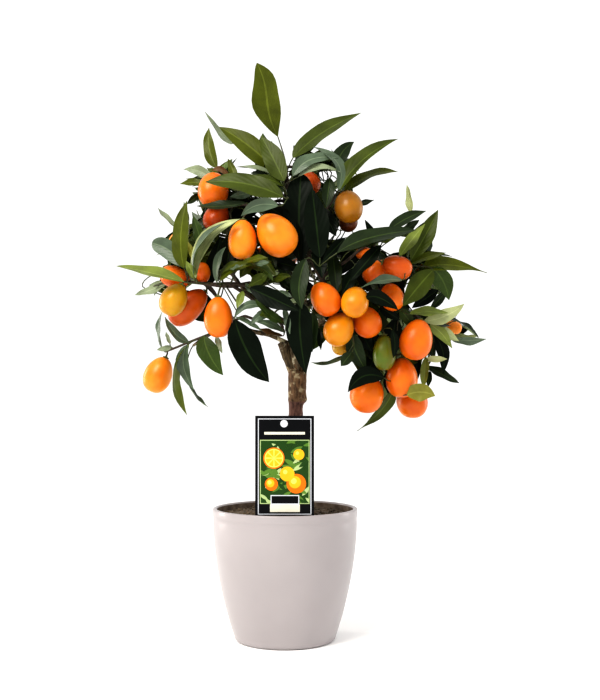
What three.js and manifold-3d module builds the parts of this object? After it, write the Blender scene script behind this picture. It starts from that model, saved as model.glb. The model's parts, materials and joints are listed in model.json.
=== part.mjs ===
// A young grafted kumquat tree, grown as a small round-headed standard in a plain moulded pot.
// Millimetres, +Z up. The origin is the centre of the pot's flat underside, +X is the tree's right
// and -Y its front, where the plant label stands.
import * as THREE from 'three';
import { mergeVertices } from 'three/addons/utils/BufferGeometryUtils.js';
import Module from 'manifold-3d';

const wasm = await Module();
wasm.setup();

// ---- Driving dimensions -------------------------------------------------------------------------

const GAP = 0.35; // left between solids that rest on, or are let into, each other
const MASS_GAP = 0.3; // left round a sprig that stands into its neighbour
const WELD = 1e-4; // corners closer than this are one corner

// Pot: a 15 cm round pot whose side is a parabola, upright at the rim
const POT_HEIGHT = 135.5;
const POT_RIM_RADIUS = 75;
const POT_FOOT_RADIUS = 51;
const POT_FOOT_ROUNDING = 5;
const POT_WALL = 3;
const POT_FLOOR = 3;
const POT_LIP_HEIGHT = 9;
const POT_LIP_THICKNESS = 4.5;
const POT_SEGMENTS = 32;
const POT_STEPS = 5;

// Root ball: peat that fills the pot to just under its rim
const SOIL_TOP = 131.2;
const SOIL_EDGE_DROP = 2.2;
const SOIL_FLAT_RADIUS = 48;

// Label: a thin plastic card on a pointed blade, pushed in just inside the front of the rim
const CARD = { width: 57.8, height: 98, thickness: 0.8, centreX: 0.3, y: -63.4, bottom: 134.7 };
const HANG_HOLE = { radius: 3.7, fromTop: 7.7, x: -0.3, sides: 20 };
const BLADE = { width: 11, thickness: 1.4, top: 158, shoulder: 104, point: 88 };

// Trunk: rootstock below the graft, thicker scion above it
const TRUNK_ROUTE = [
  [8, 1, 131.55], [8.6, 1, 150], [9.6, 0.5, 190], [10.6, 0, 226], [12, 0, 250], [13, 0, 277],
];
const ROOT_FLARE = { radius: 2.6, height: 9 };
const ROOTSTOCK_RADIUS = 7;
const SCION_RADIUS = 9;
const GRAFT = { height: 247, depth: 3.5, knob: 2.2, side: 0 };

const TRUNK_SIDES = 12;
const TRUNK_STEPS = 24;
const LIMB_SIDES = 6;
const LIMB_STEP = 15; // mean length of one stretch of a limb

/*
 * Limbs: each is a route, with the radius where it leaves its parent and where it enters its mass.
 * They are listed parent first, and each one is cut back from the limbs before it.
 */
const LIMBS = {
  leader: {
    route: [[11, 0, 271], [8.6, 0, 288], [7.6, 1, 304], [12, 3, 326], [19, 2, 352], [23, -3, 388]],
    from: 5.9, to: 3.4,
  },
  pruned_stub: {
    route: [[8, -1, 272], [3, -3, 288], [-3.6, -4, 307]],
    from: 3.8, to: 5.4,
  },
  bough_right: {
    route: [[17, 2, 270], [21, 8, 298], [27, 6, 318], [38, -12, 330], [48, -42, 336]],
    from: 5, to: 2.8,
  },
  bough_left: {
    route: [[8, 0, 303], [-15, -7, 314], [-36, -13, 319], [-54, -18, 331], [-72, -19, 356]],
    from: 3.2, to: 2,
  },
  bough_back_left: {
    route: [[11, 3, 320], [-18, 34, 342], [-45, 58, 366], [-62, 72, 388]],
    from: 3.1, to: 2.2,
  },
  bough_back_right: {
    route: [[17, 4, 344], [38, 34, 352], [66, 62, 360], [82, 76, 368]],
    from: 3.1, to: 2.2,
  },
  bough_far_right: {
    route: [[25, 8, 314], [56, 12, 334], [86, 2, 352], [100, -8, 376]],
    from: 3, to: 2.1,
  },
  bough_low_right: {
    route: [[34, -6, 327], [62, -22, 322], [84, -36, 309], [97, -46, 290]],
    from: 2.7, to: 1.9,
  },
  branchlet_low_left: {
    route: [[-42, -15, 323], [-62, -28, 319], [-80, -38, 311], [-92, -44, 302]],
    from: 1.9, to: 1.4,
  },
};

/*
 * Masses of foliage: the centre and half sizes of the body, and the tips of the sprigs that stand
 * out of it. Between two that meet, a flat gap is left.
 */
const MASSES = {
  foliage_top: {
    centre: [-2, 0, 495], half: [38, 38, 32],
    tips: [[-28, -5, 598], [-82, -10, 545], [78, -5, 546], [68, 14, 521], [-20, -12, 566]],
  },
  foliage_upper_left: {
    centre: [-57, -30, 458], half: [43, 43, 38],
    tips: [[-77, -20, 528], [-105, -20, 486], [-108, -30, 468], [-82, -56, 436]],
  },
  foliage_upper_right: {
    centre: [58, -18, 470], half: [37, 42, 34],
    tips: [[117, -14, 516], [117, -18, 483], [90, -36, 446]],
  },
  foliage_left: {
    centre: [-93, -22, 372], half: [42, 46, 42],
    tips: [
      [-99, -25, 450], [-137, -20, 408], [-174, -20, 383],
      [-154, -20, 356], [-66, -50, 312], [-131, -16, 444],
    ],
  },
  foliage_low_left: {
    centre: [-98, -44, 296], half: [27, 26, 21],
    tips: [
      [-131, -50, 250], [-143, -50, 270], [-98, -45, 234],
      [-77, -40, 243], [-60, -52, 272], [-122, -35, 331],
    ],
  },
  foliage_centre_left: {
    centre: [-27, -74, 404], half: [44, 44, 44],
    tips: [[-45, -80, 450], [-6, -86, 444], [-40, -104, 366]],
  },
  foliage_low_centre: {
    centre: [-37, -34, 322], half: [21, 26, 22],
    tips: [[-15, -46, 266], [-32, -46, 279], [-20, -36, 351]],
  },
  foliage_hanging: {
    centre: [20, -34, 322], half: [12, 20, 38],
    tips: [[22, -42, 276]],
  },
  foliage_centre: {
    centre: [27, -30, 412], half: [42, 44, 52],
    tips: [[16, -54, 470], [19, -64, 340]],
  },
  foliage_centre_right: {
    centre: [60, -80, 334], half: [42, 42, 37],
    tips: [[26, -92, 350], [55, -80, 290], [88, -96, 360]],
  },
  foliage_right: {
    centre: [116, -18, 392], half: [42, 46, 37],
    tips: [[127, -15, 468], [158, -20, 441], [208, -15, 380], [168, -10, 400]],
  },
  foliage_right_low: {
    centre: [144, -20, 333], half: [38, 40, 36],
    tips: [[186, -20, 348], [206, -20, 311], [198, -12, 321], [178, -25, 268]],
  },
  foliage_low_right: {
    centre: [107, -52, 280], half: [42, 42, 36],
    tips: [[74, -60, 219], [66, -62, 250], [142, -58, 234], [120, -60, 236]],
  },
  foliage_back_top: {
    centre: [-4, 64, 470], half: [54, 52, 46],
    tips: [[34, 96, 520], [-52, 88, 506]],
  },
  foliage_back_left: {
    centre: [-80, 82, 408], half: [50, 54, 46],
    tips: [[-130, 98, 440], [-106, 150, 398], [-126, 70, 372]],
  },
  foliage_back: {
    centre: [6, 108, 396], half: [48, 50, 48],
    tips: [[-16, 172, 384], [26, 156, 440]],
  },
  foliage_back_right: {
    centre: [92, 80, 386], half: [52, 56, 48],
    tips: [[128, 132, 420], [154, 92, 368], [98, 124, 340]],
  },
};
const MASS_DETAIL = 3;
const MASS_UNEVENNESS = 0.13;
const SPRIG_SPREAD = 0.24; // radians off a sprig's line at which it has half its reach
const MEETING_REACH = 1.5; // masses nearer than this many times their summed radii share a boundary

const COLOURS = {
  pot: { color: 0xddd5ce, roughness: 0.4, metalness: 0 },
  soil: { color: 0x4a3d30, roughness: 1, metalness: 0 },
  card: { color: 0x15161a, roughness: 0.35, metalness: 0 },
  blade: { color: 0x1a1a1c, roughness: 0.5, metalness: 0 },
  bark: { color: 0x7c6650, roughness: 0.9, metalness: 0 },
  foliage: { color: 0x3c5a2a, roughness: 0.6, metalness: 0 },
};

// ---- Solids -------------------------------------------------------------------------------------

/** One indexed surface with shared corners and no collapsed triangles. */
function weld(geometry) {
  const bare = geometry.clone();
  bare.deleteAttribute('normal');
  bare.deleteAttribute('uv');
  const merged = mergeVertices(bare, WELD);
  const corners = merged.index.array;
  const kept = [];
  for (let i = 0; i < corners.length; i += 3) {
    const [a, b, c] = corners.slice(i, i + 3);
    if (a !== b && b !== c && c !== a) kept.push(a, b, c);
  }
  merged.setIndex(kept);
  merged.computeVertexNormals();
  return merged;
}

function toSolid(geometry) {
  const welded = weld(geometry);
  return new wasm.Manifold(new wasm.Mesh({
    numProp: 3,
    vertProperties: Float32Array.from(welded.attributes.position.array),
    triVerts: Uint32Array.from(welded.index.array),
  }));
}

function toGeometry(solid) {
  const mesh = solid.getMesh();
  const geometry = new THREE.BufferGeometry();
  geometry.setAttribute('position', new THREE.BufferAttribute(mesh.vertProperties, 3));
  geometry.setIndex(new THREE.BufferAttribute(mesh.triVerts, 1));
  geometry.computeVertexNormals();
  return geometry;
}

/** The geometry with each tool cut out of it, and only its largest piece kept. */
function cutBack(geometry, tools) {
  const touching = tools.filter((tool) => {
    geometry.computeBoundingBox();
    tool.computeBoundingBox();
    return geometry.boundingBox.intersectsBox(tool.boundingBox);
  });
  if (touching.length === 0) return geometry;
  const cut = touching.reduce((solid, tool) => solid.subtract(toSolid(tool)), toSolid(geometry));
  const pieces = cut.decompose().sort((a, b) => b.volume() - a.volume());
  return toGeometry(pieces[0]);
}

/** A turned solid whose profile runs [radius, height] up the Z axis. */
function turned(profile, segments) {
  const points = profile.map(([radius, height]) => new THREE.Vector2(radius, height));
  const geometry = new THREE.LatheGeometry(points, segments);
  geometry.rotateX(Math.PI / 2);
  return weld(geometry);
}

/** A flat plate in the XZ plane, centred on y. */
function plate(shape, thickness, y) {
  const geometry = new THREE.ExtrudeGeometry(shape, { depth: thickness, bevelEnabled: false });
  geometry.rotateX(Math.PI / 2);
  geometry.translate(0, y + thickness / 2, 0);
  return weld(geometry);
}

/**
 * A limb: a cylinder bent along a smooth route, with radiusAt(share of length, height, angle).
 * Growing it gives the tool that leaves clearance round it.
 */
function limb(route, sides, steps, radiusAt, grow = 0) {
  const curve = new THREE.CatmullRomCurve3(route.map((point) => new THREE.Vector3(...point)));
  const { normals, binormals } = curve.computeFrenetFrames(steps, false);
  const geometry = new THREE.CylinderGeometry(1, 1, 1, sides, steps);
  const corners = geometry.attributes.position;
  for (let i = 0; i < corners.count; i += 1) {
    const step = Math.round((corners.getY(i) + 0.5) * steps);
    const share = step / steps;
    const point = curve.getPointAt(share);
    const across = normals[step].clone().multiplyScalar(corners.getX(i));
    across.addScaledVector(binormals[step], -corners.getZ(i));
    const angle = Math.atan2(across.y, across.x);
    point.addScaledVector(across, radiusAt(share, point.z, angle) + grow);
    if (grow > 0 && share === 1) point.addScaledVector(curve.getTangentAt(1), grow);
    corners.setXYZ(i, point.x, point.y, point.z);
  }
  return weld(geometry);
}

// ---- Pot, root ball and label -------------------------------------------------------------------

/** Outer radius of the pot's side at a height. */
function potRadius(height) {
  const below = 1 - height / POT_HEIGHT;
  return POT_FOOT_RADIUS + (POT_RIM_RADIUS - POT_FOOT_RADIUS) * (1 - below * below);
}

/** Heights at which the pot's side is faceted, from the floor to the underside of the lip. */
function sideHeights(bottom) {
  const top = POT_HEIGHT - POT_LIP_HEIGHT;
  return Array.from({ length: POT_STEPS + 1 }, (_, i) => bottom + (top - bottom) * (i / POT_STEPS));
}

/** The pot's inner wall from its floor to the lip, set in by an inset. */
function innerWall(inset) {
  return sideHeights(POT_FLOOR + inset).map((height) => [potRadius(height) - POT_WALL - inset, height]);
}

function pot() {
  const rounding = [];
  for (let i = 0; i <= 3; i += 1) {
    const turn = (i / 3) * (Math.PI / 2);
    const radius = potRadius(POT_FOOT_ROUNDING) - POT_FOOT_ROUNDING * (1 - Math.sin(turn));
    rounding.push([radius, POT_FOOT_ROUNDING * (1 - Math.cos(turn))]);
  }
  const side = sideHeights(POT_FOOT_ROUNDING).slice(1).map((height) => [potRadius(height), height]);
  const rim = POT_RIM_RADIUS;
  const inner = rim - POT_LIP_THICKNESS;
  const lip = [
    [rim, POT_HEIGHT - POT_LIP_HEIGHT + 2],
    [rim, POT_HEIGHT - 1],
    [rim - 1, POT_HEIGHT],
    [inner + 1, POT_HEIGHT],
    [inner, POT_HEIGHT - 1],
    [inner, POT_HEIGHT - POT_LIP_HEIGHT],
  ];
  const outside = [[0, 0], ...rounding, ...side, ...lip];
  return turned([...outside, ...innerWall(0).reverse(), [0, POT_FLOOR]], POT_SEGMENTS);
}

function soil(blade) {
  const edge = POT_RIM_RADIUS - POT_LIP_THICKNESS - GAP;
  const wall = innerWall(GAP);
  const [lastRadius, lastHeight] = wall[wall.length - 1];
  const top = [
    [Math.min(edge, lastRadius), lastHeight],
    [edge, SOIL_TOP - SOIL_EDGE_DROP],
    [SOIL_FLAT_RADIUS, SOIL_TOP],
    [0, SOIL_TOP],
  ];
  return cutBack(turned([[0, POT_FLOOR + GAP], ...wall.slice(0, -1), ...top], POT_SEGMENTS), [blade]);
}

function labelCard() {
  const { width, height, centreX, bottom } = CARD;
  const shape = new THREE.Shape();
  shape.moveTo(centreX - width / 2, bottom);
  shape.lineTo(centreX + width / 2, bottom);
  shape.lineTo(centreX + width / 2, bottom + height);
  shape.lineTo(centreX - width / 2, bottom + height);
  const hole = new THREE.Path();
  for (let i = 0; i < HANG_HOLE.sides; i += 1) {
    const turn = (i / HANG_HOLE.sides) * Math.PI * 2;
    const x = HANG_HOLE.x + HANG_HOLE.radius * Math.cos(turn);
    const z = bottom + height - HANG_HOLE.fromTop + HANG_HOLE.radius * Math.sin(turn);
    if (i === 0) hole.moveTo(x, z);
    else hole.lineTo(x, z);
  }
  shape.holes.push(hole);
  return plate(shape, CARD.thickness, CARD.y);
}

/** The blade stands behind the card and runs down to a point in the soil. */
function labelBlade(grow = 0) {
  const half = BLADE.width / 2 + grow;
  const shape = new THREE.Shape();
  shape.moveTo(CARD.centreX, BLADE.point - grow);
  shape.lineTo(CARD.centreX + half, BLADE.shoulder);
  shape.lineTo(CARD.centreX + half, BLADE.top + grow);
  shape.lineTo(CARD.centreX - half, BLADE.top + grow);
  shape.lineTo(CARD.centreX - half, BLADE.shoulder);
  const y = CARD.y + CARD.thickness / 2 + GAP + BLADE.thickness / 2;
  return plate(shape, BLADE.thickness + 2 * grow, y);
}

// ---- Trunk and limbs ----------------------------------------------------------------------------

/** Trunk radius: flared at the soil, slim up to the graft, then thicker, with a knob on one side. */
function trunkRadius(height, angle) {
  const ground = TRUNK_ROUTE[0][2];
  const flare = ROOT_FLARE.radius * Math.exp(-(height - ground) / ROOT_FLARE.height);
  const grafted = 1 / (1 + Math.exp((GRAFT.height - height) / GRAFT.depth * 2));
  const ledge = Math.exp(-(((height - GRAFT.height) / GRAFT.depth) ** 2));
  const facing = Math.max(0, Math.cos(angle - GRAFT.side)) ** 2;
  const stem = ROOTSTOCK_RADIUS + (SCION_RADIUS - ROOTSTOCK_RADIUS) * grafted;
  return stem + flare + GRAFT.knob * ledge * facing;
}

function trunk(grow = 0) {
  const radiusAt = (share, height, angle) => trunkRadius(height, angle);
  const geometry = limb(TRUNK_ROUTE, TRUNK_SIDES, TRUNK_STEPS, radiusAt, grow);
  const corners = geometry.attributes.position;
  const ground = TRUNK_ROUTE[0][2];
  for (let i = 0; i < corners.count; i += 1) {
    if (corners.getZ(i) < ground + 1) corners.setZ(i, ground); // the flat cut at the soil
  }
  return geometry;
}

function namedLimb(name, grow = 0) {
  const { route, from, to } = LIMBS[name];
  const length = new THREE.CatmullRomCurve3(route.map((point) => new THREE.Vector3(...point))).getLength();
  const steps = Math.max(3, Math.round(length / LIMB_STEP));
  return limb(route, LIMB_SIDES, steps, (share) => from + (to - from) * share, grow);
}

// ---- Foliage ------------------------------------------------------------------------------------

function bodyRadius({ half }, direction) {
  const [x, y, z] = half;
  return 1 / Math.hypot(direction.x / x, direction.y / y, direction.z / z);
}

/** Smooth bumps and hollows, different for each mass. */
function unevenness(direction, phase) {
  const { x, y, z } = direction;
  const waves = Math.sin(4.1 * x + 2.3 * z + phase) + Math.sin(5.3 * y - 2.9 * x + 2 * phase);
  return MASS_UNEVENNESS * (waves + Math.sin(4.7 * z + 3.1 * y + 3 * phase)) / 2;
}

/** Flat boundaries with the masses that a mass meets, as unit normals and distances from its centre. */
function boundaries(name) {
  const centre = new THREE.Vector3(...MASSES[name].centre);
  return Object.keys(MASSES).filter((other) => other !== name).flatMap((other) => {
    const normal = new THREE.Vector3(...MASSES[other].centre).sub(centre);
    const distance = normal.length();
    normal.normalize();
    const own = bodyRadius(MASSES[name], normal);
    const theirs = bodyRadius(MASSES[other], normal);
    if (distance > MEETING_REACH * (own + theirs)) return [];
    return [{ normal, distance: distance * own / (own + theirs) - GAP / 2 }];
  });
}

/**
 * A closed body whose corners lie on rays from its centre, pulled out to each sprig's tip.
 * The flat boundaries hold back the body but not its sprigs.
 */
function foliage(name, phase, grow = 0) {
  const mass = MASSES[name];
  const centre = new THREE.Vector3(...mass.centre);
  const sprigs = mass.tips.map((tip) => new THREE.Vector3(...tip).sub(centre));
  const limits = boundaries(name);
  const geometry = weld(new THREE.IcosahedronGeometry(1, MASS_DETAIL));
  const corners = geometry.attributes.position;
  const directions = Array.from({ length: corners.count }, (_, i) => (
    new THREE.Vector3().fromBufferAttribute(corners, i).normalize()
  ));
  const free = new Set(directions);
  for (const sprig of sprigs) {
    const nearest = [...free].reduce((best, way) => (way.dot(sprig) > best.dot(sprig) ? way : best));
    nearest.copy(sprig).normalize();
    free.delete(nearest);
  }
  directions.forEach((way, i) => {
    let reach = bodyRadius(mass, way) * (1 + unevenness(way, phase));
    for (const { normal, distance } of limits) {
      const toward = way.dot(normal);
      if (toward > 0) reach = Math.min(reach, distance / toward);
    }
    for (const sprig of sprigs) {
      const off = way.angleTo(sprig) / SPRIG_SPREAD;
      reach = Math.max(reach, sprig.length() / (1 + off * off));
    }
    corners.setXYZ(i, ...centre.clone().addScaledVector(way, reach + grow).toArray());
  });
  return weld(geometry);
}

// ---- Assembly -----------------------------------------------------------------------------------

const tree = new THREE.Group();

function add(name, geometry, finish) {
  const mesh = new THREE.Mesh(geometry, new THREE.MeshStandardMaterial(finish));
  mesh.name = name;
  tree.add(mesh);
}

add('pot', pot(), COLOURS.pot);
add('soil', soil(labelBlade(GAP)), COLOURS.soil);
add('label_card', labelCard(), COLOURS.card);
add('label_blade', labelBlade(), COLOURS.blade);
add('trunk', trunk(), COLOURS.bark);

const grownLimbs = [trunk(GAP)];
for (const name of Object.keys(LIMBS)) {
  add(name, cutBack(namedLimb(name), grownLimbs), COLOURS.bark);
  grownLimbs.push(namedLimb(name, GAP));
}

const grownMasses = [];
Object.keys(MASSES).forEach((name, index) => {
  add(name, cutBack(foliage(name, index + 1), [...grownLimbs, ...grownMasses]), COLOURS.foliage);
  grownMasses.push(foliage(name, index + 1, MASS_GAP));
});

export default tree;
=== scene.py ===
"""A young grafted kumquat tree in a moulded pot, with its plant label: the finished model.

Sizes are in millimetres, and become metres where a mesh is made. The frame is that of the packed
construction model: +Z up, the origin under the pot, and the tree's front towards -Y.
"""

import json
import logging
import math
import random
from collections.abc import Callable, Sequence
from dataclasses import dataclass
from enum import Enum
from functools import cached_property

import bpy
import numpy as np
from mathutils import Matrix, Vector, noise
from mathutils.bvhtree import BVHTree

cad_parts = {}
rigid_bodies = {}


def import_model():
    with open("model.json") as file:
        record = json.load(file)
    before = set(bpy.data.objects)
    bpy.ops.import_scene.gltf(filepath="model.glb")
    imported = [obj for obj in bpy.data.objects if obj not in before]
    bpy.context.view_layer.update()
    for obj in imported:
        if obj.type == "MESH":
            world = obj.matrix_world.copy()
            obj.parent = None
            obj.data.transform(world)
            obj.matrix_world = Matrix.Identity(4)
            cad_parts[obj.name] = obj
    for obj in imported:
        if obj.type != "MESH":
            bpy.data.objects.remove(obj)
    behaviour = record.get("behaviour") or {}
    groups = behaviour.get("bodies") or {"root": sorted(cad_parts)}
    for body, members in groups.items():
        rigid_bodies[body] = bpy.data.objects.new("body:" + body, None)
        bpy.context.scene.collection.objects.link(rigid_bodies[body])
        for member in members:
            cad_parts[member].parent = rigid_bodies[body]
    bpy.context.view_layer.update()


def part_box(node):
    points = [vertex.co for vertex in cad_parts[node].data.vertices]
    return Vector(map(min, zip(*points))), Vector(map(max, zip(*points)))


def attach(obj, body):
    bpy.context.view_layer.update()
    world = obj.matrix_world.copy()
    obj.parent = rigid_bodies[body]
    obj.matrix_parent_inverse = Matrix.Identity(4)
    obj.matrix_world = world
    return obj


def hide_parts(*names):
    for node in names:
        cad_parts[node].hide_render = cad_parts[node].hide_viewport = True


LOG = logging.getLogger("kumquat")
MM = 0.001
TURN = 2 * math.pi
UP = np.array((0.0, 0.0, 1.0))
TINY = 1e-9
SMALL = 0.01  # a radius too small to see
CURVE_STEP = 0.05

Array = np.ndarray
Material = bpy.types.Material
Pair = tuple[float, float]
Point = tuple[float, float, float]
Pixel = tuple[float, float]
Box = tuple[float, float, float, float]


def unit(vector: Array) -> Array:
    """Returns the vector, or each row of it, at length one."""
    return vector / np.maximum(np.linalg.norm(vector, axis=-1, keepdims=True), TINY)


def cross(one: Array, other: Array) -> Array:
    """Works out the cross product of vectors, or of each row of them.

    Args:
        one: a vector, or rows of them.
        other: likewise.

    Returns:
        The vector, or rows of them, square to both.
    """
    x, y, z = one[..., 0], one[..., 1], one[..., 2]
    u, v, w = other[..., 0], other[..., 1], other[..., 2]
    return np.stack([y * w - z * v, z * u - x * w, x * v - y * u], axis=-1)


def square_to(vector: Array, way: Array) -> Array:
    """Returns the part of vector that is square to the unit vector way, at length one."""
    return unit(vector - way * np.sum(vector * way, axis=-1, keepdims=True))


def halfway(one: Pixel, other: Pixel) -> Pixel:
    """Returns the pixel halfway between two."""
    return (one[0] + other[0]) / 2, (one[1] + other[1]) / 2


def node_box(node: str) -> tuple[Array, Array]:
    """Returns the lowest and highest corners of a construction node, in millimetres."""
    low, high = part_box(node)
    return np.array(low) / MM, np.array(high) / MM


# ---- Finishes -----------------------------------------------------------------------------------


def linear(colour: str, lighter: float = 1.0) -> tuple[float, float, float, float]:
    """Turns an sRGB hex colour to linear light.

    Args:
        colour: the colour as "#rrggbb".
        lighter: factor on the light that it sends back.

    Returns:
        Red, green, blue and alpha.
    """
    channels = [int(colour[i : i + 2], 16) / 255 for i in (1, 3, 5)]
    light = [c / 12.92 if c <= 0.04045 else ((c + 0.055) / 1.055) ** 2.4 for c in channels]
    return (*[min(1.0, c * lighter) for c in light], 1.0)


def add_node(tree: bpy.types.NodeTree, kind: str, settings: dict | None = None,
             links: dict | None = None) -> bpy.types.Node:
    """Adds a shader node to a tree.

    Args:
        tree: the material's or world's nodes.
        kind: the node's type, after the word ShaderNode.
        settings: values by the name of a property, or by the name or number of an input. "stops" are a
            colour ramp's positions and colours.
        links: output sockets by the name or number of the input that they feed.

    Returns:
        The new node.
    """
    node = tree.nodes.new("ShaderNode" + kind)
    for name, value in (settings or {}).items():
        if name == "stops":
            for stop, position, colour in zip(node.color_ramp.elements, *value):
                stop.position = position
                stop.color = colour
        elif isinstance(name, str) and hasattr(node, name):
            setattr(node, name, value)
        else:
            node.inputs[name].default_value = value
    for name, socket in (links or {}).items():
        tree.links.new(socket, node.inputs[name])
    return node


Nodes = dict[str, tuple[str, dict, dict]]  # a word: the kind, settings, and "word.output" by input
IN_PLACE = {"Vector": "place.Object"}


@dataclass(frozen=True)
class Finish:
    """What the finishes share: a pattern that drifts between two tones, a relief and a shader.

    Sizes and depths are real ones in millimetres. A relief without depth is left out.
    """

    name: str
    colour: str
    other: str = ""  # the second tone's colour, where it isn't the first's
    shades: Pair = (1.0, 1.0)
    size: float = 10.0
    detail: float = 2.0
    grit: float = 0.5
    span: Pair = (0.35, 0.65)
    relief_depth: float = 0.0
    relief_strength: float = 0.0
    roughness: float = 0.5
    ior: float = 1.5
    gloss: float = 0.5

    SHOWN = "tone.Color"
    HEIGHT = "pattern.Fac"

    def pattern(self, source: str = "place.Object") -> Nodes:
        """Returns the pattern's node, laid out by the source."""
        settings = {"Scale": 1 / (self.size * MM), "Detail": self.detail, "Roughness": self.grit}
        return {"pattern": ("TexNoise", settings, {"Vector": source})}

    def own(self) -> Nodes:
        """Returns the nodes that only this finish has."""
        return {}

    def shader(self) -> dict:
        """Returns the shader's settings."""
        return {"Roughness": self.roughness, "IOR": self.ior, "Specular IOR Level": self.gloss}

    def nodes(self) -> Nodes:
        """Returns all the nodes, each after those that feed it."""
        tones = (linear(self.colour, self.shades[0]), linear(self.other or self.colour, self.shades[1]))
        tone = ("ValToRGB", {"stops": (self.span, tones)}, {"Fac": "pattern.Fac"})
        nodes = {**self.pattern(), "tone": tone, **self.own()}
        links = {"Base Color": self.SHOWN}
        if self.relief_depth:
            relief = {"Strength": self.relief_strength, "Distance": self.relief_depth * MM}
            nodes["bump"] = ("Bump", relief, {"Height": self.HEIGHT})
            links["Normal"] = "bump.Normal"
        return nodes | {"surface": ("BsdfPrincipled", self.shader(), links)}

    def material(self) -> Material:
        """Makes the material.

        Returns:
            The material.
        """
        material = bpy.data.materials.new(self.name)
        material.use_nodes = True
        tree = material.node_tree
        tree.nodes.clear()
        made = {"place": add_node(tree, "TexCoord")}
        for word, (kind, settings, links) in self.nodes().items():
            feeds = {}
            for fed, source in links.items():
                feeder, socket = source.split(".")
                feeds[fed] = made[feeder].outputs[int(socket) if socket.isdigit() else socket]
            made[word] = add_node(tree, kind, settings, feeds)
        add_node(tree, "OutputMaterial", links={"Surface": made["surface"].outputs["BSDF"]})
        return material


@dataclass(frozen=True)
class MouldedPolypropylene(Finish):
    """Injection-moulded polypropylene in warm grey, off a finely blasted mould.

    The blasting leaves a satin skin with broad soft highlights and no sharp reflection. The plastic
    is stirred, not painted, so it clouds very faintly.
    """

    name: str = "moulded_polypropylene"
    colour: str = "#a19b9c"
    shades: Pair = (0.95, 1.0)
    size: float = 60.0
    detail: float = 3.0
    relief_depth: float = 0.1
    relief_strength: float = 0.12
    roughness: float = 0.3
    ior: float = 1.49
    grain_size: float = 0.9  # blasting is about 0.1 mm, drawn coarser so that it shows

    HEIGHT = "grain.Fac"

    def own(self) -> Nodes:
        """Returns the grain of the blasting."""
        return {"grain": ("TexNoise", {"Scale": 1 / (self.grain_size * MM), "Detail": 2.0}, IN_PLACE)}


@dataclass(frozen=True)
class DarkInnerPolypropylene(Finish):
    """The pot's plastic inside, from under the lip down: a dark peat brown."""

    name: str = "dark_inner_polypropylene"
    colour: str = "#54463a"
    other: str = "#7d6f60"
    size: float = 9.0
    detail: float = 4.0
    span: Pair = (0.35, 0.7)
    roughness: float = 0.8


@dataclass(frozen=True)
class PottingPeat(Finish):
    """Peat and composted bark, riddled and pressed in round the root ball.

    It is dull and matt, dark where damp and greyer on the crumbs that have dried.
    """

    name: str = "potting_peat"
    colour: str = "#2f251b"
    other: str = "#7a6a55"
    size: float = 3.0
    detail: float = 6.0
    grit: float = 0.7
    span: Pair = (0.36, 0.7)
    relief_depth: float = 1.0
    relief_strength: float = 0.8
    roughness: float = 0.95


@dataclass(frozen=True)
class CitrusBark(Finish):
    """Thin citrus bark, split lengthwise as the stem thickens and dotted with pale crust lichen.

    The splits show as darker streaks along the stem, and the lichen as chalky spots.
    """

    lichen: str = "#ffffff"
    lichen_from: float = 1.0  # noise level above which lichen grows: lower is more of it
    lichen_edge: float = 0.08
    lichen_size: float = 7.0
    size: float = 2.2
    streak_length: float = 8.0
    detail: float = 5.0
    grit: float = 0.65
    span: Pair = (0.34, 0.62)
    relief_depth: float = 0.5
    relief_strength: float = 0.7
    roughness: float = 0.85

    SHOWN = "colour.2"

    def pattern(self, source: str = "drawn.Vector") -> Nodes:
        """Returns the streaks, drawn out along the stem."""
        stretch = (1.0, 1.0, self.size / self.streak_length)
        return {"drawn": ("Mapping", {"Scale": stretch}, IN_PLACE), **super().pattern(source)}

    def own(self) -> Nodes:
        """Returns the lichen."""
        spots = {"Scale": 1 / (self.lichen_size * MM), "Detail": 4.0, "Roughness": 0.6}
        levels = {"From Min": self.lichen_from, "From Max": self.lichen_from + self.lichen_edge}
        return {
            "spots": ("TexNoise", spots, IN_PLACE),
            "crust": ("MapRange", levels, {"Value": "spots.Fac"}),
            "colour": ("Mix", {"data_type": "RGBA", 7: linear(self.lichen)},
                       {0: "crust.Result", 6: "tone.Color"}),
        }


@dataclass(frozen=True)
class YoungWood(Finish):
    """Wood of this year or last, still with its smooth skin, faintly ribbed and a little glossy."""

    shades: Pair = (0.6, 1.25)
    size: float = 3.0
    detail: float = 3.0
    relief_depth: float = 0.15
    relief_strength: float = 0.4
    roughness: float = 0.55


@dataclass(frozen=True)
class LeafSkin(Finish):
    """The face of a citrus leaf under its wax.

    The wax gives the upper face a soft gloss, so that leaves turned to the light look pale, and the
    side veins show as shallow troughs that slant from the midrib to the margin.
    """

    shades: Pair = (0.78, 1.22)
    size: float = 16.0
    detail: float = 3.0
    span: Pair = (0.3, 0.7)
    relief_depth: float = 0.1
    relief_strength: float = 0.3
    roughness: float = 0.36
    ior: float = 1.42
    gloss: float = 0.3
    veins: float = 11.0  # side veins along a blade
    slant: float = 2.6  # how many of them a vein passes on its way to the margin

    HEIGHT = "troughs.Value"

    def own(self) -> Nodes:
        """Returns the side veins."""
        return {
            "blade": ("SeparateXYZ", {}, {"Vector": "place.UV"}),
            "side": ("Math", {"operation": "SUBTRACT", 1: 0.5}, {0: "blade.X"}),
            "off_rib": ("Math", {"operation": "ABSOLUTE"}, {0: "side.Value"}),
            "slant": ("Math", {"operation": "MULTIPLY", 1: -2 * self.slant}, {0: "off_rib.Value"}),
            "phase": ("Math", {"operation": "MULTIPLY_ADD", 1: self.veins}, {0: "blade.Y", 2: "slant.Value"}),
            "turns": ("Math", {"operation": "MULTIPLY", 1: TURN}, {0: "phase.Value"}),
            "troughs": ("Math", {"operation": "SINE"}, {0: "turns.Value"}),
        }


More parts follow.
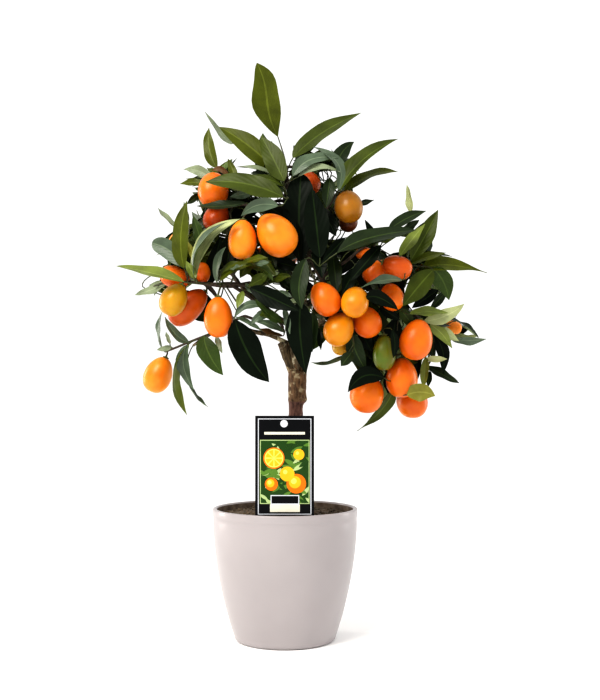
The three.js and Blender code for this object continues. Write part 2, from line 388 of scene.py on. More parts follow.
@dataclass(frozen=True)
class KumquatPeel(Finish):
    """Kumquat peel, smooth and thin over oil glands a millimetre apart.

    The glands pit the gloss, and light that sinks in comes back warmer, so the fruit seems to glow.
    """

    size: float = 22.0
    span: Pair = (0.36, 0.68)
    relief_depth: float = 0.12
    relief_strength: float = 0.25
    roughness: float = 0.34
    ior: float = 1.42
    gland_spacing: float = 1.3
    glow: float = 0.14
    glow_depth: float = 4.0
    glow_tint: Point = (1.0, 0.35, 0.08)  # how far red, green and blue go, as shares of the depth

    HEIGHT = "glands.Distance"

    def own(self) -> Nodes:
        """Returns the oil glands."""
        return {"glands": ("TexVoronoi", {"Scale": 1 / (self.gland_spacing * MM)}, IN_PLACE)}

    def shader(self) -> dict:
        """Returns the shader's settings, with the glow."""
        return super().shader() | {"Subsurface Weight": self.glow, "Subsurface Radius": self.glow_tint,
                                   "Subsurface Scale": self.glow_depth * MM}


@dataclass(frozen=True)
class PrintedPolystyrene(Finish):
    """High-impact polystyrene sheet, offset printed and varnished.

    The varnish is glossy, and the ink under it is dead even but for the sheet's slight ripple.
    """

    shades: Pair = (0.92, 1.0)
    size: float = 12.0
    span: Pair = (0.3, 0.7)
    relief_depth: float = 0.3
    relief_strength: float = 0.15
    roughness: float = 0.3
    gloss: float = 0.12


@dataclass(frozen=True)
class StudioFloor(Finish):
    """Matt painted board, white and all but even, with the roller's faint clouds in it."""

    name: str = "studio_floor"
    colour: str = "#fdfdfc"
    shades: Pair = (0.99, 1.0)
    size: float = 250.0
    span: Pair = (0.3, 0.7)
    roughness: float = 0.9
    gloss: float = 0.1


class Tint(Enum):
    """The greens of the leaves, each with its rib's: partly their own greens, from old to new, and partly
    painted light and shade. The deepest is near-black painted shade for leaves inside the crown, the
    dark one partly so, and the grey, pale and fresh ones partly paint the sheen and light on leaves
    turned to the light.
    """

    # near-black: painted shade for leaves deep inside the crown
    DEEP = ("#10180f", "#223019", 0.10)
    DARK = ("#24301a", "#3c4b28", 0.22)
    GREEN = ("#384820", "#4a5b2b", 0.22)
    MID = ("#3d4714", "#505c24", 0.22)
    OLIVE = ("#484f12", "#5c6422", 0.22)
    LIME = ("#6c7738", "#7f8b48", 0.35)
    FRESH = ("#a3a97c", "#b0b588", 0.35)
    GREY = ("#52604d", "#6c7a62", 0.45)
    PALE = ("#7d876c", "#8f987c", 0.45)
    TAWNY = ("#73722f", "#84833f", 0.30)
    BROWN = ("#5f452b", "#725a3c", 0.30)


class Peel(Enum):
    """The colours of a fruit's peel and of its blush: mostly how ripe it is, and partly painted shade.
    The gold and the russet peels are darkened to paint the shade on fruit in the crown's shade, and
    the red one partly so.
    """

    UNRIPE = ("#56671a", "#74691a")
    YELLOW = ("#c59719", "#b07c11")
    # darkened: painted shade for fruit in the crown's shade
    GOLD = ("#9d6a12", "#744a07")
    AMBER = ("#d38f1a", "#c0760f")
    ORANGE = ("#d8740c", "#c85c09")
    LIGHT = ("#ea9028", "#de7612")
    BLOOD = ("#c95f0b", "#b44c09")
    # partly painted shade for fruit in the crown's shade
    RED = ("#b65209", "#9e3c05")
    # dark brown: painted shade for a fruit deep in the crown's shade
    RUSSET = ("#683511", "#4e280b")


TINTS = tuple(Tint)
UNDERSIDE = 2 * len(TINTS)  # after the blades' numbers and then the ribs'
PEELS = tuple(Peel)
CALYX = len(PEELS)


# ---- Meshes -------------------------------------------------------------------------------------


def even_angles(count: int) -> Array:
    """Returns the angles that divide a turn evenly."""
    return np.arange(count) / count * TURN


def ways_round(axis: Array, side: Array, angles: Array) -> Array:
    """Returns the ways at angles round an axis, from the one that side gives."""
    return np.cos(angles)[:, None] * side + np.sin(angles)[:, None] * np.cross(axis, side)


class MeshDraft:
    """Corners and faces gathered in millimetres, until they become one object in metres."""

    FIRST_SIDE = np.array((1.0, 0.3, 0.1))  # a way that no tube starts along

    def __init__(self) -> None:
        """Starts with nothing."""
        self.corners: list[Array] = []
        self.places: list[Array] = []
        self.faces: list[Sequence[int]] = []
        self.finishes: list[int] = []
        self.count = 0

    def loft(self, rings: Array, finish: int | Array = 0, across: Array | None = None,
             closed: bool = False, split: Array | None = None) -> None:
        """Skins a row of rings and caps its ends.

        Args:
            rings: corners as rows x sides x 3, each ring anticlockwise about the rows' way.
            finish: the material's number, for all faces or as rows - 1 x sides.
            across: where each corner of a ring lies across the surface, from 0 to 1.
            closed: whether the last ring meets the first, in place of the caps.
            split: which diagonal cuts the faces of each side in two, or nothing for whole faces.
        """
        rows, sides = rings.shape[:2]
        index = self.count + np.arange(rows * sides).reshape(rows, sides)
        row = np.vstack([index, index[:1]]) if closed else index
        beside = np.roll(row, -1, axis=1)
        quads = np.stack([row[:-1], beside[:-1], beside[1:], row[1:]], axis=-1)
        shades = np.broadcast_to(finish, (len(row) - 1, sides))
        if split is None:
            self.faces.extend(quads.reshape(-1, 4).tolist())
        else:
            halves = [np.where(split[None, :, None], quads[..., one], quads[..., other])
                      for one, other in (([0, 1, 2], [0, 1, 3]), ([0, 2, 3], [1, 2, 3]))]
            self.faces.extend(np.concatenate(halves, axis=1).reshape(-1, 3).tolist())
            shades = np.concatenate([shades, shades], axis=1)
        shades = shades.ravel().tolist()
        self.finishes.extend(shades)
        if not closed:
            self.faces += [index[0, ::-1].tolist(), index[-1].tolist()]
            self.finishes += [shades[0], shades[-1]]
        if across is None:
            across = np.arange(sides) / sides
        along = np.linspace(0, 1, rows)
        self.places.append(np.stack(np.broadcast_arrays(across[None, :], along[:, None]), -1).reshape(-1, 2))
        self.corners.append(rings.reshape(-1, 3))
        self.count += rows * sides

    def tube(self, route: Array, radii: Array, sides: int, finish: int | Array = 0) -> None:
        """Adds a round tube.

        Args:
            route: its centreline, as points x 3.
            radii: its radius at each point.
            sides: how many flats it has round it.
            finish: the material's number, for all of it or for each stretch.
        """
        ways = unit(np.gradient(route, axis=0))
        side = self.FIRST_SIDE
        rings = []
        for centre, way, radius in zip(route, ways, radii):
            side = square_to(side, way)
            rings.append(centre + radius * ways_round(way, side, even_angles(sides)))
        if isinstance(finish, Array):
            finish = finish[:, None]
        self.loft(np.array(rings), finish)

    def plate(self, outline: Array, front: float, back: float, finish: int = 0) -> None:
        """Adds a flat plate that faces the front.

        Args:
            outline: its corners as x, z, anticlockwise as seen from the front.
            front: y of its face.
            back: y of its back.
            finish: the material's number.
        """
        self.loft(np.array([[(x, y, z) for x, z in outline] for y in (back, front)], float), finish)

    def to_object(self, name: str, materials: Sequence[Material],
                  sharp_degrees: float = 50.0) -> bpy.types.Object:
        """Makes the object and links it to the scene.

        Args:
            name: its name.
            materials: its materials, in the order of their numbers.
            sharp_degrees: the angle above which an edge stays sharp.

        Returns:
            The object.
        """
        mesh = bpy.data.meshes.new(name)
        mesh.from_pydata((np.concatenate(self.corners) * MM).tolist(), [], self.faces)
        for material in materials:
            mesh.materials.append(material)
        mesh.polygons.foreach_set("material_index", self.finishes)
        corner_of_loop = np.empty(len(mesh.loops), np.int32)
        mesh.loops.foreach_get("vertex_index", corner_of_loop)
        layer = mesh.uv_layers.new(name="UVMap")
        layer.data.foreach_set("uv", np.concatenate(self.places)[corner_of_loop].astype(np.float32).ravel())
        mesh.shade_smooth()
        mesh.set_sharp_from_angle(angle=math.radians(sharp_degrees))
        return linked(name, mesh)


def linked(name: str, mesh: bpy.types.Mesh) -> bpy.types.Object:
    """Makes an object and links it to the scene.

    Args:
        name: its name.
        mesh: its mesh.

    Returns:
        The object.
    """
    mesh.update()
    made = bpy.data.objects.new(name, mesh)
    bpy.context.scene.collection.objects.link(made)
    return made


def hand_over(piece: bpy.types.Object, slot: str, *nodes: str) -> None:
    """Puts a piece on the tree's one body, in place of the construction nodes that it stands for.

    Args:
        piece: the finished piece.
        slot: the record's material slot; not used.
        *nodes: the construction nodes.
    """
    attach(piece, "root")
    if nodes:
        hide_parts(*nodes)
    LOG.info("%s: %d faces", piece.name, len(piece.data.polygons))


def turned(profile: Sequence[tuple[float, float]], sides: int) -> Array:
    """Returns the rings of a shape turned about Z.

    Args:
        profile: radius and height, from the underside's middle outward and up.
        sides: how many flats it has round it.
    """
    angles = even_angles(sides)
    circle = np.stack([np.cos(angles), np.sin(angles)], -1)
    return np.array([np.column_stack([circle * max(radius, SMALL), np.full(sides, height)])
                     for radius, height in profile])


def arc(centre: Pair, radius: float, first: float, last: float, steps: int = 6) -> list[Pair]:
    """Returns points on an arc, whose angles are in degrees."""
    angles = np.radians(np.linspace(first, last, steps + 1))
    return [(centre[0] + radius * math.cos(a), centre[1] + radius * math.sin(a)) for a in angles]


def ease(share: float) -> float:
    """Returns a smooth step from 0 to 1."""
    share = min(1.0, max(0.0, share))
    return share * share * (3 - 2 * share)


# ---- Pot and root ball --------------------------------------------------------------------------


@dataclass
class Pot:
    """The moulded pot, whose side is a parabola that stands upright at the rim."""

    wall: float = 3.0
    floor: float = 3.0
    foot_radius: float = 51.0
    foot_rounding: float = 5.0
    foot_edge: float = 2.0
    lip_height: float = 9.0
    lip_thickness: float = 4.5
    lip_rounding: float = 1.6
    lip_step: float = 0.45  # how far the side stands back under the lip
    step_from: float = 8.0  # how far under the lip it starts to stand back
    step_length: float = 7.0
    step_drop: float = 0.4  # how far under the lip its hollow lies
    edge_depth: float = 0.1
    edge_rise: float = 0.9
    lip_rise: float = 2.2
    lip_inner_step: float = 0.6
    floor_edge: float = 1.0
    sides: int = 180
    steps: int = 36
    sharp_degrees: float = 60.0
    finish: MouldedPolypropylene = MouldedPolypropylene()
    inner_finish: DarkInnerPolypropylene = DarkInnerPolypropylene()

    def __post_init__(self) -> None:
        """Takes the height and the rim from the frame."""
        _, high = node_box("pot")
        self.rim_radius, self.height = float(high[0]), float(high[2])
        self.lip_foot = self.height - self.lip_height

    def radius(self, height: float) -> float:
        """Returns the side's outer radius at a height."""
        below = 1 - height / self.height
        return self.foot_radius + (self.rim_radius - self.foot_radius) * (1 - below * below)

    def profile(self) -> list[Pair]:
        """Returns the pot's section, from the middle of its underside round to that of its floor."""
        lip_foot = self.lip_foot
        toe = self.radius(self.foot_rounding) - self.foot_rounding
        section = [(0.0, 0.0), (toe / 2, 0.0), (toe - self.foot_edge, 0.0)]
        section += arc((toe, self.foot_rounding), self.foot_rounding, -90, 0)
        for i in range(1, self.steps):
            height = self.foot_rounding + (lip_foot - self.foot_rounding) * i / self.steps
            share = (height - lip_foot + self.step_from) / self.step_length
            section.append((self.radius(height) - self.lip_step * ease(share), height))
        section += [(self.radius(lip_foot) - self.lip_step, lip_foot - self.step_drop),
                    (self.radius(lip_foot) - self.edge_depth, lip_foot + self.edge_rise),
                    (self.rim_radius, lip_foot + self.lip_rise)]
        turn = self.lip_rounding
        section += arc((self.rim_radius - turn, self.height - turn), turn, 0, 90)
        inner = self.rim_radius - self.lip_thickness
        section += arc((inner + turn, self.height - turn), turn, 90, 180)
        section.append((inner, lip_foot + self.lip_inner_step))
        for i in range(self.steps, 0, -1):
            height = self.floor + (lip_foot - self.floor) * i / self.steps
            section.append((self.radius(height) - self.wall, height))
        section += [(self.radius(self.floor) - self.wall - self.floor_edge, self.floor), (0.0, self.floor)]
        return section

    def build(self) -> None:
        """Builds the pot."""
        section = self.profile()
        stretches = len(section) - 1
        inner_from = stretches - (self.steps + 3)  # all that lies inside, under the lip
        inner_faces = [int(i >= inner_from) for i in range(stretches)]
        draft = MeshDraft()
        draft.loft(turned(section, self.sides), np.array(inner_faces)[:, None])
        finishes = [self.finish.material(), self.inner_finish.material()]
        hand_over(draft.to_object("pot_shell", finishes, self.sharp_degrees), "pot", "pot")


@dataclass
class RootBall:
    """Peat pressed into the pot, with loose crumbs on top."""

    edge_drop: float = 2.2
    flat_share: float = 0.68
    sunk: float = 0.5
    lumps: tuple[Point, ...] = ((9.0, 0.63, 0.3), (2.4, 0.45, 4.1))  # size, height, layer of the noise
    side_gap: float = 0.4
    side_steps: int = 12
    shoulder: float = 1.0
    crumbs: int = 520
    crumb_radii: Pair = (0.6, 1.9)
    crumb_profile: tuple[Pair, ...] = ((0.1, -0.8), (0.75, -0.5), (1.0, 0.0), (0.7, 0.6), (0.1, 0.8))
    crumb_sides: int = 7
    crumb_wobble: float = 0.25
    crumb_stretch: Pair = (0.7, 1.5)
    crumb_flatness: float = 0.8
    crumb_rise: float = 0.2
    clear_of_trunk: float = 11.0
    clear_of_pot: float = 4.0
    sides: int = 150
    rings: int = 46
    sharp_degrees: float = 80.0
    seed: int = 7
    finish: PottingPeat = PottingPeat()

    def __post_init__(self) -> None:
        """Takes its size from the frame."""
        low, high = node_box("soil")
        self.radius, self.top, self.foot = float(high[0]), float(high[2]), float(low[2])

    def surface(self, x: float, y: float) -> float:
        """Works out the height of the peat.

        Args:
            x: the place from the pot's middle to the right.
            y: the place from there to the back.

        Returns:
            The height.
        """
        off = math.hypot(x, y) / self.radius
        drop = self.edge_drop * max(0.0, (off - self.flat_share) / (1 - self.flat_share))
        rise = sum(height * noise.noise(Vector((x / size, y / size, layer)))
                   for size, height, layer in self.lumps)
        return self.top - self.sunk - drop + rise

    def build(self) -> None:
        """Builds the root ball and the crumbs on it."""
        pot = Pot()
        section = [(0.0, self.foot)]
        for i in range(self.side_steps + 1):
            height = self.foot + (pot.lip_foot - self.foot) * i / self.side_steps
            section.append((pot.radius(height) - pot.wall - self.side_gap, height))
        section += [(self.radius, pot.lip_foot + self.shoulder)]
        section += [(self.radius * (1 - i / self.rings), self.top) for i in range(self.rings)]
        section.append((0.0, self.top))
        rings = turned(section, self.sides)
        for ring in rings[-self.rings - 1 :]:
            for corner in ring:
                corner[2] = self.surface(corner[0], corner[1])
        draft = MeshDraft()
        draft.loft(rings)
        peat = self.finish.material()
        hand_over(draft.to_object("peat", [peat], self.sharp_degrees), "soil", "soil")
        self.scatter(peat)

    def scatter(self, peat: Material) -> None:
        """Scatters the crumbs, each a lopsided lump half sunk in the peat.

        Args:
            peat: their material.
        """
        rng = random.Random(self.seed)
        foot = sum(node_box("trunk")) / 2
        draft = MeshDraft()
        for _ in range(self.crumbs):
            off = (self.radius - self.clear_of_pot) * math.sqrt(rng.random())
            turn = rng.random() * TURN
            x, y = off * math.cos(turn), off * math.sin(turn)
            size = self.crumb_radii[0] + (self.crumb_radii[1] - self.crumb_radii[0]) * rng.random() ** 2
            if math.hypot(x - foot[0], y - foot[1]) < self.clear_of_trunk:
                continue
            lump = turned(self.crumb_profile, self.crumb_sides)
            swells = [[[rng.uniform(-1, 1)]] * self.crumb_sides for _ in self.crumb_profile]
            lump *= 1 + self.crumb_wobble * np.array(swells)
            lump[:, :, 0] *= rng.uniform(*self.crumb_stretch)
            tilt = rng.random() * TURN
            spin = np.array([[math.cos(tilt), -math.sin(tilt), 0], [math.sin(tilt), math.cos(tilt), 0],
                             [0, 0, self.crumb_flatness]])
            draft.loft(lump @ spin.T * size + (x, y, self.surface(x, y) + self.crumb_rise * size))
        hand_over(draft.to_object("peat_crumbs", [peat], self.sharp_degrees), "soil")


# ---- Label --------------------------------------------------------------------------------------


class Ink(Enum):
    """The colours printed on the label."""

    BLACK = "#101114"
    SILVER = "#c9ccd2"
    CREAM = "#d9d6c6"
    FOREST = "#2c4a20"
    FERN = "#5d7f38"
    SAGE = "#a9bb86"
    AMBER = "#f3b02c"
    TANGERINE = "#e8761b"
    LEMON = "#f9d468"


INKS = tuple(Ink)


@dataclass(frozen=True)
class Disc:
    """A disc of ink: its middle from the card's, its radius, its ink and its layer."""

    middle: Pair
    radius: float
    ink: Ink
    layer: float


@dataclass
class PlantLabel:
    """The plastic card on its blade: a blank name strip over a panel of leaves and citrus fruit.

    The print is plain figures laid over one another, each a layer higher than the one below. A box is
    its left, right, foot and top, from the middle of the card's foot.
    """

    hole_radius: float = 3.7
    hole_from_top: float = 7.7
    hole_x: float = -0.3
    hole_sides: int = 48
    hole_turn: float = 0.01  # keeps its corners off the card's
    blade_shoulder: float = 104.0
    blade_rounding: float = 2.0
    spine: Pair = (2.4, 0.7)  # breadth, and how far it stands out behind
    spine_from_top: float = 4.0
    sunk: float = 0.1  # how deep a figure goes into what is behind it
    frame_inset: float = 2.6
    frame_foot: float = 1.2
    frame_width: float = 0.9
    panel: Box = (-24.3, 24.5, 11.6, 74.5)
    panel_edge: float = 0.9
    name_strip: Box = (-20, 20, 79.6, 82.2)
    size_strip: Box = (-13.8, 14.4, 11.2, 20.4)
    size_window: Box = (-12.8, 13.4, 12.2, 19.4)
    foot_strip: Box = (-14.4, 15.0, 3.8, 11.2)
    strip_layer: int = 19
    ink_step: float = 0.04
    leaves: int = 60
    leaf_inks: tuple[Ink, ...] = (Ink.FERN, Ink.SAGE, Ink.FOREST, Ink.FERN)
    leaf_turns: tuple[int, ...] = (35, 145, 215, 325)
    leaf_sway: float = 22.0
    leaf_length: Pair = (9, 15)
    leaf_margin: float = 3.0
    leaf_layers: Pair = (3, 0.12)  # that of the first leaf, and the step to the next
    leaf_breadth: float = 0.32
    leaf_power: float = 0.8
    leaf_points: int = 9
    cut_fruit: Disc = Disc((-10.5, 56.5), 10.4, Ink.TANGERINE, 12)
    whole_fruits: tuple[Disc, ...] = (
        Disc((11.5, 31.5), 9.6, Ink.TANGERINE, 12), Disc((2.5, 41.0), 7.2, Ink.AMBER, 15),
        Disc((-13.0, 31.0), 6.4, Ink.TANGERINE, 12), Disc((14.0, 60.0), 5.4, Ink.AMBER, 12),
    )
    lights: tuple[tuple[float, Ink], ...] = ((0.62, Ink.AMBER), (0.3, Ink.LEMON))
    light_off: Pair = (0.55, 0.7)
    pith: float = 0.88
    flesh: float = 0.78
    core: float = 0.1
    wedges: int = 8
    wedge_turns: Point = (5, 17, 35)  # degrees to its first side and its point, and between its sides
    sharp_degrees: float = 30.0
    seed: int = 23

    def __post_init__(self) -> None:
        """Takes the card's and the blade's place from the frame."""
        self.low, self.high = node_box("label_card")
        self.blade_low, self.blade_high = node_box("label_blade")
        self.middle = float(self.low[0] + self.high[0]) / 2
        self.draft = MeshDraft()

    def print_figure(self, outline: Sequence[Pair], ink: Ink, layer: float) -> None:
        """Prints one figure on the card.

        Args:
            outline: its corners from the card's middle and foot, anticlockwise.
            ink: its colour.
            layer: how many layers of ink lie under it, and it.
        """
        placed = np.array(outline) + (self.middle, float(self.low[2]))
        face = float(self.low[1])
        self.draft.plate(placed, face - layer * self.ink_step, face + self.sunk, INKS.index(ink))

    def print_box(self, box: Box, ink: Ink, layer: float) -> None:
        """Prints a rectangle."""
        left, right, foot, top = box
        self.print_figure([(left, foot), (right, foot), (right, top), (left, top)], ink, layer)

    def card(self) -> None:
        """Builds the card round its hanging hole, as rings that go from face to face."""
        centre = np.array((self.hole_x, self.high[2] - self.hole_from_top))
        reach = np.array([[self.low[0], self.low[2]], [self.high[0], self.high[2]]]) - centre
        corners = [(reach[i][0], reach[j][1]) for i in (0, 1) for j in (0, 1)]
        angles = sorted([*even_angles(self.hole_sides) + self.hole_turn,
                         *[math.atan2(z, x) % TURN for x, z in corners]])
        ways = np.array([(math.cos(a), math.sin(a)) for a in angles])
        limits = np.where(ways > 0, reach[1], reach[0]) / np.where(np.abs(ways) < TINY, TINY, ways)
        edge = centre + ways * limits.min(axis=1)[:, None]
        hole = centre + ways * self.hole_radius
        front, back = float(self.low[1]), float(self.high[1])
        rings = [np.column_stack([flat[:, 0], np.full(len(flat), y), flat[:, 1]])
                 for flat, y in ((edge, back), (edge, front), (hole, front), (hole, back))]
        self.draft.loft(np.array(rings), INKS.index(Ink.BLACK), closed=True)

    def rim(self, box: Box, width: float, ink: Ink, layer: int) -> None:
        """Prints the outline of a rectangle.

        Args:
            box: the rectangle.
            width: the line's width.
            ink: its colour.
            layer: its layer.
        """
        left, right, foot, top = box
        for side in ((left, right, foot, foot + width), (left, right, top - width, top),
                     (left, left + width, foot + width, top - width),
                     (right - width, right, foot + width, top - width)):
            self.print_box(side, ink, layer)

    def print_disc(self, disc: Disc) -> None:
        """Prints a disc."""
        self.print_figure(arc(disc.middle, disc.radius, 0, 350, 35), disc.ink, disc.layer)

    def print_slice(self, disc: Disc) -> None:
        """Prints a citrus slice: rind, pith and wedges.

        Args:
            disc: its rind.
        """
        x, z = disc.middle
        self.print_disc(disc)
        self.print_disc(Disc(disc.middle, disc.radius * self.pith, Ink.LEMON, disc.layer + 1))
        to_side, to_point, sweep = self.wedge_turns
        for i in range(self.wedges):
            first = i * 360 / self.wedges + to_side
            point = math.radians(first + to_point)
            core = disc.radius * self.core
            wedge = [(x + core * math.cos(point), z + core * math.sin(point)),
                     *arc(disc.middle, disc.radius * self.flesh, first, first + sweep, 5)]
            self.print_figure(wedge, Ink.AMBER, disc.layer + 2)

    def print_leaf(self, foot: Pair, turn: float, length: float, ink: Ink, layer: float) -> None:
        """Prints a leaf that stays inside the panel.

        Args:
            foot: where it starts.
            turn: its direction in radians.
            length: its length.
            ink: its colour.
            layer: its layer.
        """
        shares = np.linspace(0, 1, self.leaf_points)
        half = self.leaf_breadth / 2 * length * np.sin(np.pi * shares) ** self.leaf_power
        along = np.concatenate([shares, shares[-2:0:-1]]) * length
        off = np.concatenate([-half, half[-2:0:-1]])
        x = foot[0] + along * math.cos(turn) - off * math.sin(turn)
        z = foot[1] + along * math.sin(turn) + off * math.cos(turn)
        left, right, low, top = self.panel
        edge = self.panel_edge
        placed = zip(np.clip(x, left + edge, right - edge), np.clip(z, low + edge, top - edge))
        self.print_figure(list(placed), ink, layer)

    def picture(self) -> None:
        """Prints the panel: rows of leaves, a slice and small whole fruits."""
        rng = random.Random(self.seed)
        left, right, foot, top = self.panel
        margin, sway = self.leaf_margin, self.leaf_sway
        self.print_box(self.panel, Ink.FOREST, 1)
        self.rim(self.panel, self.panel_edge, Ink.SAGE, 2)
        for i in range(self.leaves):
            spot = (rng.uniform(left + margin, right - margin), rng.uniform(foot + margin, top - margin))
            turn = math.radians(rng.choice(self.leaf_turns) + rng.uniform(-sway, sway))
            layer = self.leaf_layers[0] + i * self.leaf_layers[1]
            ink = self.leaf_inks[i % len(self.leaf_inks)]
            self.print_leaf(spot, turn, rng.uniform(*self.leaf_length), ink, layer)
        self.print_slice(self.cut_fruit)
        for disc in self.whole_fruits:
            self.print_disc(disc)
            for number, (share, light) in enumerate(self.lights, 1):
                inner = disc.radius * share
                off = (disc.radius - inner) * self.light_off[0]
                spot = (disc.middle[0] - off * self.light_off[1], disc.middle[1] + off * self.light_off[1])
                self.print_disc(Disc(spot, inner, light, disc.layer + number))

    def build(self) -> None:
        """Builds the card with its print, and the blade."""
        half = float(self.high[0] - self.low[0]) / 2
        height = float(self.high[2] - self.low[2])
        self.card()
        edge = self.frame_inset
        self.rim((edge - half, half - edge, self.frame_foot, height - edge), self.frame_width, Ink.SILVER, 1)
        self.print_box(self.name_strip, Ink.CREAM, 1)
        self.picture()
        self.print_box(self.size_strip, Ink.SILVER, self.strip_layer)
        self.print_box(self.size_window, Ink.BLACK, self.strip_layer + 1)
        self.print_box(self.foot_strip, Ink.CREAM, self.strip_layer)
        materials = [PrintedPolystyrene(f"print_{ink.name.lower()}", ink.value).material() for ink in INKS]
        hand_over(self.draft.to_object("label_print", materials, self.sharp_degrees), "label_card",
                  "label_card")
        self.stake()

    def stake(self) -> None:
        """Builds the blade, pointed below and rounded above, with a spine up the card's back."""
        blade = MeshDraft()
        shoulder, turn = self.blade_shoulder, self.blade_rounding
        half = float(self.blade_high[0] - self.blade_low[0]) / 2
        point, top = float(self.blade_low[2]), float(self.blade_high[2])
        front, back = float(self.blade_low[1]), float(self.blade_high[1])
        outline = [(0.0, point), (half, shoulder), *arc((half - turn, top - turn), turn, 0, 90, 3),
                   *arc((turn - half, top - turn), turn, 90, 180, 3), (-half, shoulder)]
        blade.plate(np.array(outline) + (self.middle, 0), front, back)
        breadth, rise = self.spine
        side, end = breadth / 2, top - self.spine_from_top
        spine = [(-side, shoulder), (side, shoulder), (side, end), (-side, end)]
        blade.plate(np.array(spine) + (self.middle, 0), back - self.sunk, back + rise)
        plastic = PrintedPolystyrene("label_blade_plastic", Ink.BLACK.value, roughness=0.45).material()
        hand_over(blade.to_object("label_stake", [plastic], self.sharp_degrees), "label_blade", "label_blade")


# ---- Trunk and limbs ----------------------------------------------------------------------------


@dataclass(frozen=True)
class Limb:
    """A limb of the frame: its route, and its radius where it starts and where it ends."""

    route: tuple[Point, ...]
    start: float
    end: float


LIMBS = {
    "leader": Limb(((11, 0, 271), (8.6, 0, 288), (7.6, 1, 304), (12, 3, 326), (19, 2, 352), (23, -3, 388)),
                   5.9, 3.4),
    "pruned_stub": Limb(((8, -1, 272), (3, -3, 288), (-3.6, -4, 307)), 3.8, 5.4),
    "bough_right": Limb(((17, 2, 270), (21, 8, 298), (27, 6, 318), (38, -12, 330), (48, -42, 336)), 5.0, 2.8),
    "bough_left": Limb(((8, 0, 303), (-15, -7, 314), (-36, -13, 319), (-54, -18, 331), (-72, -19, 356)),
                       2.7, 1.8),
    "bough_back_left": Limb(((11, 3, 320), (-18, 34, 342), (-45, 58, 366), (-62, 72, 388)), 3.1, 2.2),
    "bough_back_right": Limb(((17, 4, 344), (38, 34, 352), (66, 62, 360), (82, 76, 368)), 3.1, 2.2),
    "bough_far_right": Limb(((25, 8, 314), (56, 12, 334), (86, 2, 352), (100, -8, 376)), 3.0, 2.1),
    "bough_low_right": Limb(((34, -6, 327), (62, -22, 322), (84, -36, 309), (97, -46, 290)), 2.7, 1.9),
    "branchlet_low_left": Limb(((-42, -15, 323), (-62, -28, 319), (-80, -38, 311), (-92, -44, 302)),
                               1.9, 1.4),
}


def smooth_route(points: Sequence[Point], step: float) -> Array:
    """Returns points a step apart on a smooth curve.

    Args:
        points: where the curve passes.
        step: the distance between the returned points.
    """
    given = np.array(points, float)
    padded = np.vstack([2 * given[0] - given[1], given, 2 * given[-1] - given[-2]])
    curve = []
    for before, start, end, after in zip(padded, padded[1:], padded[2:], padded[3:]):
        for t in np.arange(0, 1, CURVE_STEP):
            curve.append(0.5 * (2 * start + (end - before) * t
                                + (2 * before - 5 * start + 4 * end - after) * t * t
                                + (3 * start - before - 3 * end + after) * t ** 3))
    curve = np.array([*curve, given[-1]])
    lengths = np.concatenate([[0], np.cumsum(np.linalg.norm(np.diff(curve, axis=0), axis=1))])
    stations = np.linspace(0, lengths[-1], max(2, round(lengths[-1] / step) + 1))
    return np.column_stack([np.interp(stations, lengths, curve[:, axis]) for axis in range(3)])


class Bark(Enum):
    """The barks of the frame: below the graft, above it, on the leader, on the boughs and on a cut."""

    ROOTSTOCK = CitrusBark("bark_rootstock", "#3a2620", "#75564b", lichen="#a39a8a", lichen_from=0.66)
    SCION = CitrusBark("bark_scion", "#33251a", "#806449", lichen="#a3967a", lichen_from=0.56)
    LEADER = CitrusBark("bark_leader", "#3a2f22", "#8c7d66", lichen="#c4bda6", lichen_from=0.52)
    BOUGH = CitrusBark("bark_bough", "#211a11", "#65563f", lichen="#a39b85", lichen_from=0.6)
    CUT = CitrusBark("bark_cut", "#8a7c62", "#cfc6ac", lichen="#d8d0bc", lichen_from=0.6)


BARKS = tuple(Bark)


@dataclass(frozen=True)
class Lumps:
    """One layer of the bark's relief: the size of its lumps across and along, its height, its layer."""

    across: float
    along: float
    height: float
    layer: float

    def at(self, x: float, y: float, z: float) -> float:
        """Returns how far it stands out at a place."""
        place = (x / self.across, y / self.across, z / self.along + self.layer)
        return self.height * noise.noise(Vector(place))


